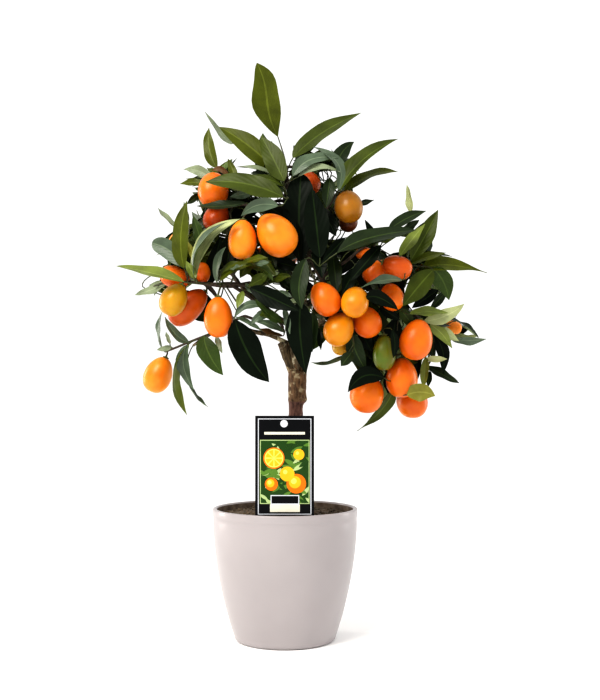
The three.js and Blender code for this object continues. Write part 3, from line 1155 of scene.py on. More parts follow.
@dataclass
class Trunk:
    """The grafted trunk with the limbs that fork from it, as one skin of bark."""

    route: tuple[Point, ...] = ((8, 1, 131.55), (8.6, 1, 150), (9.6, 0.5, 190), (10.6, 0, 226),
                                (12, 0, 250), (13, 0, 277))
    rootstock_radius: float = 7.3
    scion_radius: float = 9.4
    flare: float = 2.6
    flare_height: float = 9.0
    graft_height: float = 247.0
    graft_depth: float = 3.5
    graft_ring: float = 0.5
    knob: float = 2.2
    fork_height: float = 280.0
    cut_radius: float = 5.6
    cut_rise: float = 5.0
    sunk: float = 3.0  # how far the trunk runs down into the peat
    relief_layers: tuple[Lumps, ...] = (Lumps(2.2, 9, 0.5, 0), Lumps(4.5, 5, 0.45, 7), Lumps(11, 14, 0.9, 3))
    thin_above: float = 30.0  # over the graft, where the bark's relief is less
    thin_share: float = 0.55
    leader_reach: float = 0.8
    bark_wobbles: Point = (4.0, 6.0, 1.5)  # size, height at the fork, and drop at the graft
    voxel: float = 0.85
    steps: Pair = (2.0, 3.0)  # along the trunk and along the limbs
    sides: tuple[int, int] = (24, 12)

    def radius(self, height: float) -> float:
        """Works out the trunk's radius, without the knob of the graft.

        Args:
            height: the height above the floor.

        Returns:
            The radius.
        """
        flare = self.flare * math.exp(-max(0.0, height - self.route[0][2]) / self.flare_height)
        grafted = 1 / (1 + math.exp((self.graft_height - height) / self.graft_depth * 2))
        return self.rootstock_radius + (self.scion_radius - self.rootstock_radius) * grafted + flare

    def rough(self) -> bpy.types.Object:
        """Returns the trunk and limbs as tubes that run into each other."""
        draft = MeshDraft()
        x, y, z = self.route[0]
        route = smooth_route(((x, y, z - self.sunk), *self.route), self.steps[0])
        draft.tube(route, np.array([self.radius(point[2]) for point in route]), self.sides[0])
        for limb in LIMBS.values():
            line = smooth_route(limb.route, self.steps[1])
            draft.tube(line, np.linspace(limb.start, limb.end, len(line)), self.sides[1])
        return draft.to_object("trunk_tubes", [])

    def relief(self, point: Array, normal: Array) -> float:
        """Returns how far the bark stands out: its splits, scales and lumps, and the graft's ledge.

        Args:
            point: the place.
            normal: the way out there.
        """
        height = point[2]
        thickness = 1.0 if height < self.graft_height + self.thin_above else self.thin_share
        ledge = math.exp(-(((height - self.graft_height) / self.graft_depth) ** 2))
        knob = self.knob * ledge * max(0.0, normal[0]) ** 2
        lumps = sum(layer.at(*point) for layer in self.relief_layers)
        return thickness * lumps + knob + self.graft_ring * ledge

    def barks(self, places: Array) -> Array:
        """Returns the number of the bark at each place.

        Args:
            places: as places x 3.
        """
        step = self.steps[1]
        leader = smooth_route(LIMBS["leader"].route, step)
        boughs = np.vstack([smooth_route(limb.route, step) for name, limb in LIMBS.items()
                            if name != "leader"])
        off_leader, off_boughs = (np.min([np.linalg.norm(places - point, axis=1) for point in line], axis=0)
                                  for line in (leader, boughs))
        size, at_fork, at_graft = self.bark_wobbles
        wobble = np.array([noise.noise(Vector(place / size)) for place in places])
        heights = places[:, 2]
        of_leader = off_leader < off_boughs + self.leader_reach
        numbers = np.where(of_leader, BARKS.index(Bark.LEADER), BARKS.index(Bark.BOUGH))
        numbers[heights < self.fork_height + at_fork * wobble] = BARKS.index(Bark.SCION)
        numbers[heights < self.graft_height - at_graft + wobble] = BARKS.index(Bark.ROOTSTOCK)
        cut = np.array(LIMBS["pruned_stub"].route[-1]) + UP * self.cut_rise
        numbers[np.linalg.norm(places - cut, axis=1) < self.cut_radius] = BARKS.index(Bark.CUT)
        return numbers

    def build(self) -> None:
        """Joins the tubes into one skin and raises the bark's relief on it."""
        rough = self.rough()
        remesh = rough.modifiers.new("join", "REMESH")
        remesh.mode = "VOXEL"
        remesh.voxel_size = self.voxel * MM
        bpy.context.view_layer.update()
        graph = bpy.context.evaluated_depsgraph_get()
        mesh = bpy.data.meshes.new_from_object(rough.evaluated_get(graph))
        bpy.data.objects.remove(rough)
        corners, normals = values_of(mesh.vertices, "co") / MM, values_of(mesh.vertices, "normal")
        raised = np.array([self.relief(point, normal) for point, normal in zip(corners, normals)])
        mesh.vertices.foreach_set("co", ((corners + normals * raised[:, None]) * MM).ravel())
        mesh.materials.clear()
        for bark in BARKS:
            mesh.materials.append(bark.value.material())
        numbers = self.barks(values_of(mesh.polygons, "center") / MM)
        mesh.polygons.foreach_set("material_index", numbers.astype(np.int32))
        mesh.shade_smooth()
        hand_over(linked("bark_skin", mesh), "bark", "trunk", *LIMBS)


def values_of(parts: bpy.types.bpy_prop_collection, name: str) -> Array:
    """Reads a vector of each part of a mesh.

    Args:
        parts: its vertices or faces.
        name: the vector's name.

    Returns:
        The vectors, as parts x 3.
    """
    values = np.empty(len(parts) * 3)
    parts.foreach_get(name, values)
    return values.reshape(-1, 3)


# ---- Views of the crown -------------------------------------------------------------------------


@dataclass(frozen=True)
class FrontView:
    """The camera before the tree's front, and the frame of 600 by 700 pixels that it fills."""

    width: int = 600
    height: int = 700
    lens: float = 57.8
    sensor: float = 36.0
    station: Point = (15.4, -1170.0, 270.0)
    aim: Point = (15.4, 0.0, 299.0)

    @cached_property
    def axes(self) -> tuple[Array, Array, Array]:
        """The ways right, up and forward of the camera."""
        forward = unit(np.array(self.aim) - np.array(self.station))
        right = unit(np.cross(forward, UP))
        return right, np.cross(right, forward), forward

    @property
    def focal(self) -> float:
        """The focal length in pixels."""
        return self.lens / self.sensor * self.height

    def ray(self, pixel: Pixel) -> Array:
        """Works out the way from the camera through a pixel.

        Args:
            pixel: the column and row.

        Returns:
            The way, of which the part forward is one.
        """
        right, up, forward = self.axes
        across, rise = pixel[0] - self.width / 2, self.height / 2 - pixel[1]
        return (right * across + up * rise) / self.focal + forward

    def place(self, pixel: Pixel, depth: float) -> Array:
        """Returns the point seen at a pixel whose y is depth."""
        way = self.ray(pixel)
        return np.array(self.station) + way * ((depth - self.station[1]) / way[1])

    def project(self, points: Array) -> Array:
        """Works out where points are seen.

        Args:
            points: the points, as rows.

        Returns:
            The column, row and y of each.
        """
        right, up, forward = self.axes
        off = points - np.array(self.station)
        away = off @ forward
        column = self.width / 2 + self.focal * (off @ right) / away
        row = self.height / 2 - self.focal * (off @ up) / away
        return np.stack([column, row, points[..., 1]], -1)

    def unit_per_pixel(self, depth: float) -> float:
        """Returns the millimetres that a pixel spans at a depth."""
        return (depth - self.station[1]) / self.focal


FRONT = FrontView()


@dataclass(frozen=True)
class CrownShape:
    """The round head of the crown, as the depth of its front at a pixel."""

    middle: Pixel = (300, 262)
    half_width: float = 165.0
    above: float = 135.0
    below: float = 190.0
    bulge: float = 115.0
    thinnest: float = 0.1

    def front(self, pixel: Pixel) -> float:
        """Works out how near the crown's front is.

        Args:
            pixel: where it is seen.

        Returns:
            Its y there.
        """
        across = (pixel[0] - self.middle[0]) / self.half_width
        rise = pixel[1] - self.middle[1]
        up = rise / (self.below if rise > 0 else self.above)
        return -self.bulge * math.sqrt(max(self.thinnest, 1 - across * across - up * up))


HEAD = CrownShape()


# ---- Leaves and fruit ---------------------------------------------------------------------------


class Outline(Enum):
    """Outlines of a blade, as the powers that narrow it to its foot and to its tip."""

    LANCEOLATE = (1.0, 0.85)
    ACUTE = (0.72, 0.95)
    ACUMINATE = (0.62, 1.5)
    BLUNT = (0.7, 0.5)


@dataclass(frozen=True)
class Leaf:
    """A leaf with a place of its own on the crown's front.

    foot, tip and via are where the blade starts and ends and where its midrib passes, and seen is the
    breadth that shows, all in the front view's pixels. ahead brings it nearer, in millimetres, over
    says that it passes before the fruit that it crosses, turn says which edge is nearer, sway is how far
    its midrib winds to either side, in millimetres, and ragged how much its breadth wavers.
    """

    foot: Pixel
    tip: Pixel
    seen: float
    tint: Tint
    via: Pixel | None = None
    ahead: float = 0.0
    over: bool = False
    turn: int = 1
    outline: Outline = Outline.ACUTE
    fold: float = 14.0
    sway: float = 0.0
    ragged: float = 0.06


@dataclass(frozen=True)
class Fruit:
    """A fruit with a place of its own on the crown's front.

    stem and end are the ends of its axis as seen, and girth its breadth, in the front view's pixels.
    """

    stem: Pixel
    end: Pixel
    girth: float
    peel: Peel
    ahead: float = 0.0


@dataclass(frozen=True)
class Twig:
    """A twig that shows between the leaves, by the pixels that it passes and how far back it lies."""

    route: tuple[Pixel, ...]
    back: float = 22.0


L, F, T, P, O = Leaf, Fruit, Tint, Peel, Outline

LEADING_TWIGS: dict[str, tuple[Twig, ...]] = {
    "top": (Twig(((312, 262), (300, 235), (291, 205), (287, 178)), 34),
            Twig(((287, 178), (285, 160), (281, 146)), 30)),
    "upper_left": (Twig(((287, 205), (262, 208), (240, 205), (215, 212)), 34),),
    "upper_right": (Twig(((300, 235), (322, 215), (338, 192)), 36),),
    "centre_left": (Twig(((216, 285), (232, 286), (250, 283)), 20), Twig(((224, 288), (236, 310)), 20),
                    Twig(((230, 284), (250, 297)), 16), Twig(((279, 328), (262, 322), (245, 316)), 24)),
    "left": (Twig(((256, 288), (236, 284), (210, 284), (190, 282)), 16), Twig(((226, 286), (238, 304)), 16)),
    "low_left": (Twig(((220, 330), (205, 336), (187, 343), (175, 348), (165, 352)), 14),),
    "right": (Twig(((345, 300), (372, 296), (398, 270), (412, 258)), 34),
              Twig(((345, 262), (368, 244), (392, 235)), 30)),
    "right_low": (Twig(((372, 296), (398, 308), (420, 318), (436, 326)), 26),
                  Twig(((420, 318), (428, 345), (430, 362)), 26)),
}

LEADING_FRUIT: dict[str, tuple[Fruit, ...]] = {
    "top": (F((304, 172), (315, 194), 21, P.RED, -22),),
    "upper_left": (F((215, 175), (211, 206), 31, P.ORANGE, 14), F((224, 205), (209, 231), 25, P.RED)),
    "upper_right": (F((346, 193), (351, 221), 29, P.GOLD, 6), F((347, 212), (349, 231), 19, P.RUSSET, -12)),
    "left": (
        F((182, 284), (166, 315), 27, P.YELLOW, 26),
        F((206, 291), (171, 323), 28, P.BLOOD, 14),
        F((218, 296), (219, 338), 29, P.ORANGE, 20),
        F((190, 283), (160, 272), 22, P.ORANGE, 4),
        F((204, 284), (200, 262), 17, P.ORANGE, -4),
    ),
    "centre_left": (F((243, 219), (242, 260), 29, P.LIGHT, 12), F((262, 216), (291, 254), 38, P.LIGHT, 10)),
    "centre_right": (
        F((357, 290), (353, 314), 28, P.AMBER, 18),
        F((316, 283), (334, 315), 29, P.ORANGE, 6),
        F((345, 315), (333, 343), 30, P.AMBER, 4),
        F((360, 310), (373, 333), 29, P.ORANGE, -4),
        F((338, 338), (342, 353), 17, P.YELLOW, -14),
    ),
    "right": (
        F((382, 262), (412, 272), 24, P.BLOOD, 10),
        F((388, 262), (364, 281), 20, P.ORANGE, -10),
        F((376, 255), (354, 252), 13, P.ORANGE, -16),
        F((388, 285), (396, 309), 24, P.ORANGE, 2),
    ),
    "right_low": (F((444, 324), (462, 330), 13, P.LIGHT, -14),),
    "low_right": (
        F((421, 319), (411, 360), 33, P.ORANGE, 22),
        F((402, 357), (401, 398), 32, P.ORANGE, 14),
        F((407, 388), (416, 412), 31, P.ORANGE, 2),
        F((369, 377), (365, 409), 34, P.ORANGE, 2),
        F((384, 334), (384, 371), 23, P.UNRIPE, 6),
    ),
    "low_left": (F((166, 357), (151, 392), 28, P.LIGHT, 8),),
}

# Leaves in the deepest green are near-black painted shade, set where the crown's inside shows dark between
# the lit leaves.
LEADING_LEAVES: dict[str, tuple[Leaf, ...]] = {
    "top": (
        L((278, 137), (257, 63), 28.5, T.OLIVE, (267, 100), fold=10, sway=-2.2, ragged=0.13,
          outline=O.LANCEOLATE),
        L((284, 181), (261, 136), 22, T.MID, (273, 158), 10, fold=6),
        L((277, 172), (219, 127), 22, T.OLIVE, (250, 146), 2, fold=12),
        L((232, 143), (205, 112), 7, T.PALE, (222, 134), -10),
        L((293, 158), (361, 113), 17, T.MID, (321, 132), 2, fold=10),
        L((293, 176), (338, 158), 13, T.GREY, (310, 159), 12),
        L((298, 177), (340, 172), 7, T.PALE, (318, 167), 8),
        L((338, 190), (313, 147), 10, T.GREY, (339, 163), 8),
        L((338, 172), (354, 142), 16, T.DARK, (341, 154), -4, turn=-1),
        L((280, 179), (236, 167), 5, T.PALE, (258, 168), 6),
        L((284, 192), (251, 173), 12, T.DARK, (266, 178), 0),
        L((283, 186), (250, 178), 8, T.MID, (266, 178), 4),
    ),
    "upper_left": (
        L((217, 168), (209, 128), 13, T.OLIVE, (209, 149), 0),
        L((236, 178), (228, 159), 8, T.OLIVE, None, 6),
        L((213, 179), (185, 169), 11, T.PALE, (199, 171), -8),
        L((206, 185), (180, 184), 8, T.OLIVE, (193, 182), -4),
        L((283, 197), (205, 182), 21, T.MID, (246, 183), 22, over=True, fold=8),
        L((229, 176), (212, 171), 6, T.BROWN, (220, 169), 10, over=True),
        L((200, 194), (187, 204), 7, T.DARK, None, 4),
        L((246, 203), (197, 206), 8, T.DARK, (222, 205), 12, over=True),
        L((278, 206), (241, 216), 15, T.GREY, (258, 205), 24, over=True, fold=24),
        L((254, 192), (230, 197), 9, T.GREY, None, 2, turn=-1),
        L((214, 242), (192, 212), 13, T.GREY, None, -10), L((262, 200), (225, 224), 18, T.DEEP, None, -16),
        L((292, 222), (262, 202), 16, T.DEEP, None, -14),
    ),
    "left": (
        L((178, 229), (158, 208), 5, T.PALE, None, -8),
        L((184, 268), (187, 201), 17, T.OLIVE, (180, 236), 16, fold=10),
        L((187, 240), (184, 202), 9, T.MID, None, 4), L((204, 250), (193, 216), 12, T.GREEN, None, 2),
        L((196, 278), (240, 219), 15, T.FRESH, (205, 241), 24, over=True, fold=26),
        L((194, 276), (227, 222), 4, T.GREY, (199, 243), 28, over=True),
        L((208, 286), (221, 236), 16, T.DEEP, None, -6),
        L((187, 269), (152, 243), 19, T.GREY, (170, 251), 6, outline=O.BLUNT),
        L((184, 282), (116, 266), 11, T.LIME, (150, 271), 26, over=True),
        L((168, 283), (135, 295), 9, T.PALE, None, -6),
        L((196, 279), (186, 261), 9, T.LIME, None, 22, over=True),
        L((196, 262), (188, 242), 7, T.TAWNY, None, 12),
        L((217, 283), (226, 247), 8, T.GREY, (217, 262), 8),
        L((220, 281), (253, 265), 9, T.OLIVE, (234, 268), 12),
        L((218, 280), (248, 266), 7, T.MID, (229, 266), 8), L((243, 291), (237, 308), 8, T.LIME, None, 8),
    ),
    "centre_left": (
        L((244, 266), (273, 281), 9, T.GREEN, (262, 268), 4),
        L((240, 265), (268, 258), 7, T.OLIVE, (254, 259), 10),
        L((256, 264), (269, 262), 6, T.GREY, None, 14), L((230, 269), (243, 265), 3, T.GREY, None, 16),
        L((251, 285), (268, 273), 12, T.MID, None, 2), L((246, 283), (251, 293), 5, T.GREY, None, 4),
        L((275, 281), (291, 277), 7, T.MID, (283, 276), 0), L((279, 291), (292, 297), 6, T.GREY, None, 4),
        L((262, 258), (276, 276), 9, T.MID, None, -8), L((270, 275), (248, 286), 10, T.MID, None, 4),
        L((262, 258), (282, 252), 9, T.MID, None, -2), L((268, 282), (290, 276), 5, T.MID, None, 2),
        L((250, 288), (299, 311), 19, T.DEEP, (274, 299), 14, fold=8),
        L((262, 232), (276, 268), 16, T.DARK, None, -14), L((233, 232), (226, 268), 18, T.DEEP, None, -16),
        L((254, 252), (240, 278), 14, T.MID, None, -18), L((276, 262), (300, 268), 13, T.DEEP, None, -16),
        L((279, 280), (293, 291), 8, T.DEEP, None, -12),
    ),
    "centre": (
        L((301, 262), (301, 174), 33, T.DEEP, (299, 218), 14, outline=O.BLUNT, fold=6),
        L((320, 258), (312, 188), 26, T.DEEP, (316, 222), 2, fold=6),
        L((330, 178), (326, 208), 14, T.DARK, None, 6, fold=22),
        L((306, 259), (302, 309), 19, T.DARK, (299, 284), 10, fold=20),
        L((333, 254), (337, 293), 15, T.DARK, None, 4), L((322, 208), (336, 236), 15, T.DEEP, None, -12),
        L((318, 240), (322, 278), 16, T.DEEP, None, -8), L((290, 215), (300, 262), 15, T.DEEP, None, -10),
        L((345, 238), (322, 262), 12, T.DEEP, None, -6),
    ),
    "upper_right": (
        L((340, 190), (398, 139), 17, T.MID, (361, 158), 8, fold=22),
        L((344, 193), (398, 172), 10, T.OLIVE, (370, 174), 10),
        L((352, 206), (374, 200), 6, T.DARK, None, -16), L((338, 212), (352, 226), 11, T.DEEP, None, -14),
    ),
    "right": (
        L((337, 253), (416, 230), 18, T.DARK, (368, 237), 12, fold=10, outline=O.LANCEOLATE),
        L((374, 236), (365, 220), 6, T.DEEP, None, -2), L((350, 251), (388, 240), 7, T.MID, (366, 244), 4),
        L((381, 245), (350, 281), 14, T.DEEP, (364, 264), 14, over=True),
        L((362, 240), (338, 276), 18, T.DEEP, None, -6),
        L((402, 280), (361, 288), 9, T.GREY, (380, 280), 18, over=True, outline=O.ACUMINATE),
        L((366, 298), (398, 310), 15, T.DEEP, (380, 298), 16, over=True),
        L((411, 214), (407, 185), 7, T.FRESH, None, -6),
        L((389, 230), (426, 211), 12, T.DARK, (406, 218), 6), L((404, 231), (419, 220), 8, T.DARK, None, 2),
        L((400, 256), (425, 224), 12, T.LIME, (411, 240), 10),
        L((411, 260), (438, 210), 20, T.MID, (425, 236), 8, fold=24),
        L((411, 264), (446, 253), 9, T.OLIVE, (428, 256), 6),
        L((424, 267), (487, 273), 15, T.OLIVE, (453, 264), 4, outline=O.ACUMINATE),
        L((433, 270), (403, 306), 22, T.MID, (418, 287), 16, turn=-1, fold=8),
        L((432, 268), (449, 300), 20, T.GREEN, (443, 281), 12),
        L((438, 290), (412, 308), 12, T.DEEP, None, -4), L((446, 292), (430, 310), 9, T.DARK, None, -6),
        L((360, 262), (368, 292), 16, T.DEEP, None, -14), L((392, 268), (404, 300), 12, T.DEEP, None, -18),
        L((380, 307), (400, 320), 11, T.DEEP, None, -12), L((379, 241), (397, 234), 9, T.MID, None, -10),
    ),
    "right_low": (
        L((410, 314), (448, 313), 9, T.LIME, (428, 311), 4),
        L((424, 321), (464, 304), 14, T.FRESH, (445, 316), 6, fold=8),
        L((428, 322), (451, 326), 5, T.DARK, None, 8), L((430, 323), (459, 341), 11, T.FRESH, None, 2),
        L((430, 325), (452, 348), 12, T.LIME, (441, 333), 8),
        L((456, 321), (479, 338), 3, T.DARK, (468, 326), -2),
        L((451, 339), (486, 339), 8, T.GREY, (468, 341), 0, turn=-1),
        L((450, 338), (478, 336), 6, T.FRESH, None, -4),
        L((434, 334), (443, 373), 13, T.DEEP, (443, 352), 2), L((428, 366), (459, 383), 9, T.DARK, None, 4),
        L((430, 371), (428, 387), 6, T.DARK, None, 2), L((426, 357), (423, 388), 9, T.LIME, None, 8),
        L((426, 359), (447, 359), 7, T.FRESH, None, 10), L((400, 308), (416, 330), 12, T.GREEN, None, -4),
        L((428, 330), (434, 360), 10, T.DARK, None, -4),
    ),
    "low_right": (
        L((384, 378), (348, 392), 18, T.DEEP, (364, 376), 18, over=True, fold=6),
        L((350, 332), (366, 370), 19, T.DARK, (356, 352), 6, fold=16),
        L((393, 391), (357, 431), 12, T.MID, (381, 412), 4, outline=O.ACUMINATE, turn=-1),
        L((407, 395), (435, 396), 18, T.TAWNY, (421, 392), 24, over=True, fold=6),
        L((392, 330), (393, 358), 9, T.DEEP, (395, 344), 10, over=True),
        L((372, 330), (382, 372), 18, T.DEEP, None, -10), L((396, 318), (388, 362), 20, T.DEEP, None, -12),
        L((376, 352), (364, 384), 16, T.DEEP, None, -8), L((386, 372), (390, 398), 8, T.DEEP, None, -6),
        L((418, 358), (414, 384), 10, T.DEEP, None, -10),
    ),
    "centre_right": (
        L((352, 352), (341, 366), 12, T.DARK, None, 4), L((326, 326), (312, 350), 13, T.GREEN, None, -8),
        L((345, 355), (311, 362), 4, T.GREY, (328, 363), -6),
        L((360, 330), (372, 352), 14, T.DEEP, None, -12), L((356, 268), (342, 294), 14, T.DEEP, None, -12),
        L((319, 328), (321, 350), 6, T.DEEP, None, -10),
    ),
    "low_left": (
        L((189, 344), (187, 415), 10, T.LIME, (176, 378), 6, turn=-1),
        L((187, 345), (194, 390), 13, T.GREY, (183, 366), 10),
        L((189, 384), (208, 407), 3, T.GREY, (197, 396), 2),
        L((204, 336), (223, 375), 21, T.GREEN, (209, 354), 8, turn=-1, fold=8),
        L((216, 336), (222, 353), 6, T.PALE, None, 0), L((189, 342), (165, 317), 9, T.GREY, (176, 334), 2),
        L((172, 347), (157, 350), 6, T.PALE, None, -4), L((170, 344), (166, 332), 4, T.PALE, None, -4),
        L((163, 350), (162, 312), 3, T.GREY, (158, 331), 0),
    ),
    "low_centre": (
        L((235, 320), (269, 382), 31, T.DEEP, (248, 353), 12, turn=-1, fold=8),
        L((262, 307), (235, 317), 8, T.GREY, (247, 305), 8),
        L((236, 317), (262, 331), 5, T.GREY, (248, 322), 10),
        L((270, 316), (250, 326), 9, T.GREY, (260, 316), 6),
        L((257, 313), (270, 320), 7, T.MID, (265, 314), 8),
        L((284, 332), (256, 322), 8, T.GREY, (270, 324), 4), L((283, 336), (256, 328), 5, T.BROWN, None, 2),
        L((284, 308), (290, 334), 7, T.GREY, (287, 320), 6),
        L((284, 323), (255, 299), 8, T.GREEN, (268, 313), 10),
    ),
    "hanging": (
        L((301, 302), (306, 374), 27, T.DEEP, (300, 333), 12, fold=6),
        L((298, 306), (296, 344), 14, T.DEEP, None, 4), L((313, 312), (312, 352), 12, T.DARK, None, 2),
        L((310, 316), (326, 317), 5, T.GREY, None, 4),
    ),
}

SKY_GAPS: tuple[tuple[int, int, int, int], ...] = (  # left, top, right and foot, in pixels
    (236, 166, 248, 179), (217, 150, 222, 164), (284, 158, 293, 172), (324, 174, 331, 179),
    (352, 176, 404, 224), (347, 225, 366, 232), (342, 233, 349, 238), (326, 227, 334, 236),
    (392, 240, 402, 252), (404, 282, 411, 304), (412, 303, 444, 311), (206, 276, 216, 296),
    (228, 286, 238, 300), (246, 298, 264, 308), (266, 281, 279, 290), (244, 312, 257, 323),
    (269, 317, 283, 330), (248, 336, 292, 346), (188, 324, 208, 338), (310, 344, 342, 420),
    (308, 318, 326, 336), (398, 150, 440, 208), (335, 262, 345, 275), (392, 186, 404, 226),
    (418, 362, 424, 384), (432, 346, 437, 370),
)


@dataclass
class Blade:
    """A leaf blade in space: its midrib is a curve, and its halves rise from it like an open book."""

    foot: Array
    bend: Array  # control point of the midrib
    tip: Array
    upper: Array  # way that the upper face looks
    breadth: float
    tint: Tint
    owner: str
    outline: Outline = Outline.ACUTE
    fold: float = 14.0
    twist: float = 0.0
    curl: float = 0.0
    wave: float = 1.0
    phase: float = 0.0
    sway: float = 0.0
    ragged: float = 0.05
    rows: int = 12

    COLUMNS = np.array((-1.0, -0.8, -0.45, -0.07, 0.07, 0.45, 0.8, 1.0))
    THICKNESS = 0.45
    RIB_DEPTH = 0.7
    RIB_WIDTH = 0.1  # as a share of half the breadth
    DISH = 1.3  # power by which the halves rise to the margin
    WAVES = (1.7, 1.9)  # of the margin: how many, and how far one side is ahead of the other
    WAVERS = (1.45, 1.2)  # of the breadth, likewise
    NARROWEST = 0.45  # half the breadth where it is least
    ENDS = (0.04, 0.96)  # shares of its length, short of the foot and of the tip
    SAMPLES = (np.linspace(*ENDS, 20), np.linspace(-0.85, 0.85, 7))

    def stations(self, shares: Array) -> tuple[Array, Array, Array]:
        """Returns the midrib's points, the way across and the way up.

        Args:
            shares: where along the midrib, as shares of its length.
        """
        t = shares[:, None]
        rib = (1 - t) ** 2 * self.foot + 2 * t * (1 - t) * self.bend + t * t * self.tip
        ways = unit(2 * (1 - t) * (self.bend - self.foot) + 2 * t * (self.tip - self.bend))
        rise = square_to(np.broadcast_to(self.upper, ways.shape), ways)
        side = cross(ways, rise)
        turn = np.radians(self.twist) * t
        across = side * np.cos(turn) + rise * np.sin(turn)
        up = cross(across, ways)
        return rib - up * self.curl * t ** 3 + side * self.sway * np.sin(TURN * t), across, up

    def surface(self, shares: Array, columns: Array) -> tuple[Array, Array]:
        """Returns the upper face and the way up.

        Args:
            shares: where along the blade.
            columns: where across it, from -1 to 1.

        Returns:
            Points as shares x columns x 3, and the way up as shares x 3.
        """
        rib, across, up = self.stations(shares)
        foot_power, tip_power = self.outline.value
        widest = foot_power / (foot_power + tip_power)
        shape = shares ** foot_power * (1 - shares) ** tip_power
        half = self.breadth / 2 * shape / (widest ** foot_power * (1 - widest) ** tip_power)
        half = np.maximum(half, self.NARROWEST)[:, None]
        tilt = math.radians(self.fold)
        margin = np.abs(columns)[None, :] ** self.DISH
        side = np.sign(columns)[None, :]
        along = shares[:, None]
        ripple = np.sin(TURN * self.WAVES[0] * along + self.phase + self.WAVES[1] * side)
        waver = np.sin(TURN * self.WAVERS[0] * along + 2 * self.phase + self.WAVERS[1] * side)
        half = half * (1 + self.ragged * waver)
        swell = self.wave * ripple * margin ** 2 * np.sin(np.pi * shares)[:, None]
        lift = half * margin * math.sin(tilt) + swell
        spread = half * columns * math.cos(tilt)
        return rib[:, None] + across[:, None] * spread[..., None] + up[:, None] * lift[..., None], up

    def samples(self) -> Array:
        """Returns points spread over the blade, to test where it would lie."""
        return self.surface(*self.SAMPLES)[0].reshape(-1, 3)

    def move(self, foot: Pixel, bend: Pixel, tip: Pixel, back: float) -> None:
        """Moves the blade back along the front view's rays, so that it looks the same from there.

        Args:
            foot: the pixel of its foot.
            bend: the pixel of its bend.
            tip: the pixel of its tip.
            back: how far back it goes.
        """
        self.foot = FRONT.place(foot, self.foot[1] + back)
        self.bend = FRONT.place(bend, self.bend[1] + back)
        self.tip = FRONT.place(tip, self.tip[1] + back)

    def draw(self, draft: MeshDraft) -> None:
        """Adds the blade to a draft, as a closed leaf with its rib raised below.

        Args:
            draft: the draft.
        """
        shares = 0.5 - 0.5 * np.cos(np.pi * np.linspace(0, 1, self.rows))
        top, up = self.surface(shares, self.COLUMNS)
        inner = self.COLUMNS[-2:0:-1]
        under = top[:, -2:0:-1]
        is_rib = np.abs(inner) < self.RIB_WIDTH
        depth = np.where(is_rib, self.RIB_DEPTH, self.THICKNESS * np.sqrt(1 - inner ** 2))
        slender = np.minimum(1, np.sin(np.pi * np.clip(shares, *self.ENDS)) * 2)[:, None]
        rings = np.concatenate([top, under - up[:, None] * (depth[None, :] * slender)[..., None]], axis=1)
        count = len(self.COLUMNS)
        faces = np.full(rings.shape[1], UNDERSIDE)
        faces[:count] = faces[-1] = TINTS.index(self.tint)
        faces[count // 2 - 1] = len(TINTS) + TINTS.index(self.tint)
        across = (np.concatenate([self.COLUMNS, inner]) + 1) / 2
        is_upper = np.arange(len(faces)) < count - 1
        draft.loft(rings, faces, across, split=is_upper)


@dataclass
class Berry:
    """A fruit in space: an oval, a little fuller below its middle, with its calyx on the stalk."""

    stem: Array
    axis: Array
    length: float
    girth: float
    peel: Peel
    owner: str
    phase: float = 0.0

    SIDES = 28
    ROWS = 22
    FULLNESS = 2.08
    LOW_BELLY = 1.2
    NARROWEST = 0.3
    DIMPLE = (1.1, 3.0)  # depth and radius
    END_DIMPLE = 0.6  # as a share of the one at the stalk
    RIPPLES = ((3, 0.016, 1), (5, 0.01, 2))  # how many, how high, and how they follow the phase
    SIDE = np.array((0.3, 1.0, 0.2))  # a way that no fruit hangs
    LOBES = 5
    LOBE_REACH = 0.34
    CALYX_SIDES = 20
    CALYX_RINGS = ((0.7, -1.2), (1.2, -0.4), (2.9, 0.35), (2.6, 0.95), (0.5, 1.3))  # radius and height

    @property
    def centre(self) -> Array:
        """The fruit's middle."""
        return self.stem + self.axis * self.length / 2

    def reach(self, points: Array) -> Array:
        """Measures how far points lie from its middle.

        Args:
            points: the points, as rows.

        Returns:
            The distances, in units of its own radius that way.
        """
        off = points - self.centre
        along = off @ self.axis
        across = np.linalg.norm(off - along[..., None] * self.axis, axis=-1)
        return np.hypot(along / (self.length / 2), across / (self.girth / 2))

    def samples(self) -> Array:
        """Returns points all over the fruit."""
        return self.rings().reshape(-1, 3)

    def rings(self) -> Array:
        """Returns the fruit's surface from its stalk to its end."""
        shares = 0.5 - 0.5 * np.cos(np.pi * np.linspace(0, 1, self.ROWS))
        middle = np.abs(2 * shares ** self.LOW_BELLY - 1)
        radii = self.girth / 2 * np.maximum(0.0, 1 - middle ** self.FULLNESS) ** (1 / self.FULLNESS)
        radii = np.maximum(radii, self.NARROWEST)
        dimple = self.DIMPLE[0] * np.exp(-((radii / self.DIMPLE[1]) ** 2))
        heights = shares * self.length + np.where(shares < 0.5, dimple, -self.END_DIMPLE * dimple)
        angles = even_angles(self.SIDES)
        ripple = np.ones(self.SIDES)
        for many, high, follow in self.RIPPLES:
            ripple = ripple + high * np.sin(many * angles + follow * self.phase)
        circle = ways_round(self.axis, square_to(self.SIDE, self.axis), angles) * ripple[:, None]
        centres = self.stem + self.axis * heights[:, None]
        return centres[:, None] + circle[None] * radii[:, None, None]

    def draw(self, draft: MeshDraft) -> None:
        """Adds the fruit and the lobed calyx that holds it to a draft.

        Args:
            draft: the draft.
        """
        draft.loft(self.rings(), PEELS.index(self.peel))
        angles = even_angles(self.CALYX_SIDES)
        lobes = 1 + self.LOBE_REACH * np.cos(self.LOBES * angles)
        star = ways_round(self.axis, square_to(self.SIDE, self.axis), angles) * lobes[:, None]
        draft.loft(np.array([self.stem + self.axis * height + star * radius
                             for radius, height in self.CALYX_RINGS]), CALYX)


# ---- Branching ----------------------------------------------------------------------------------


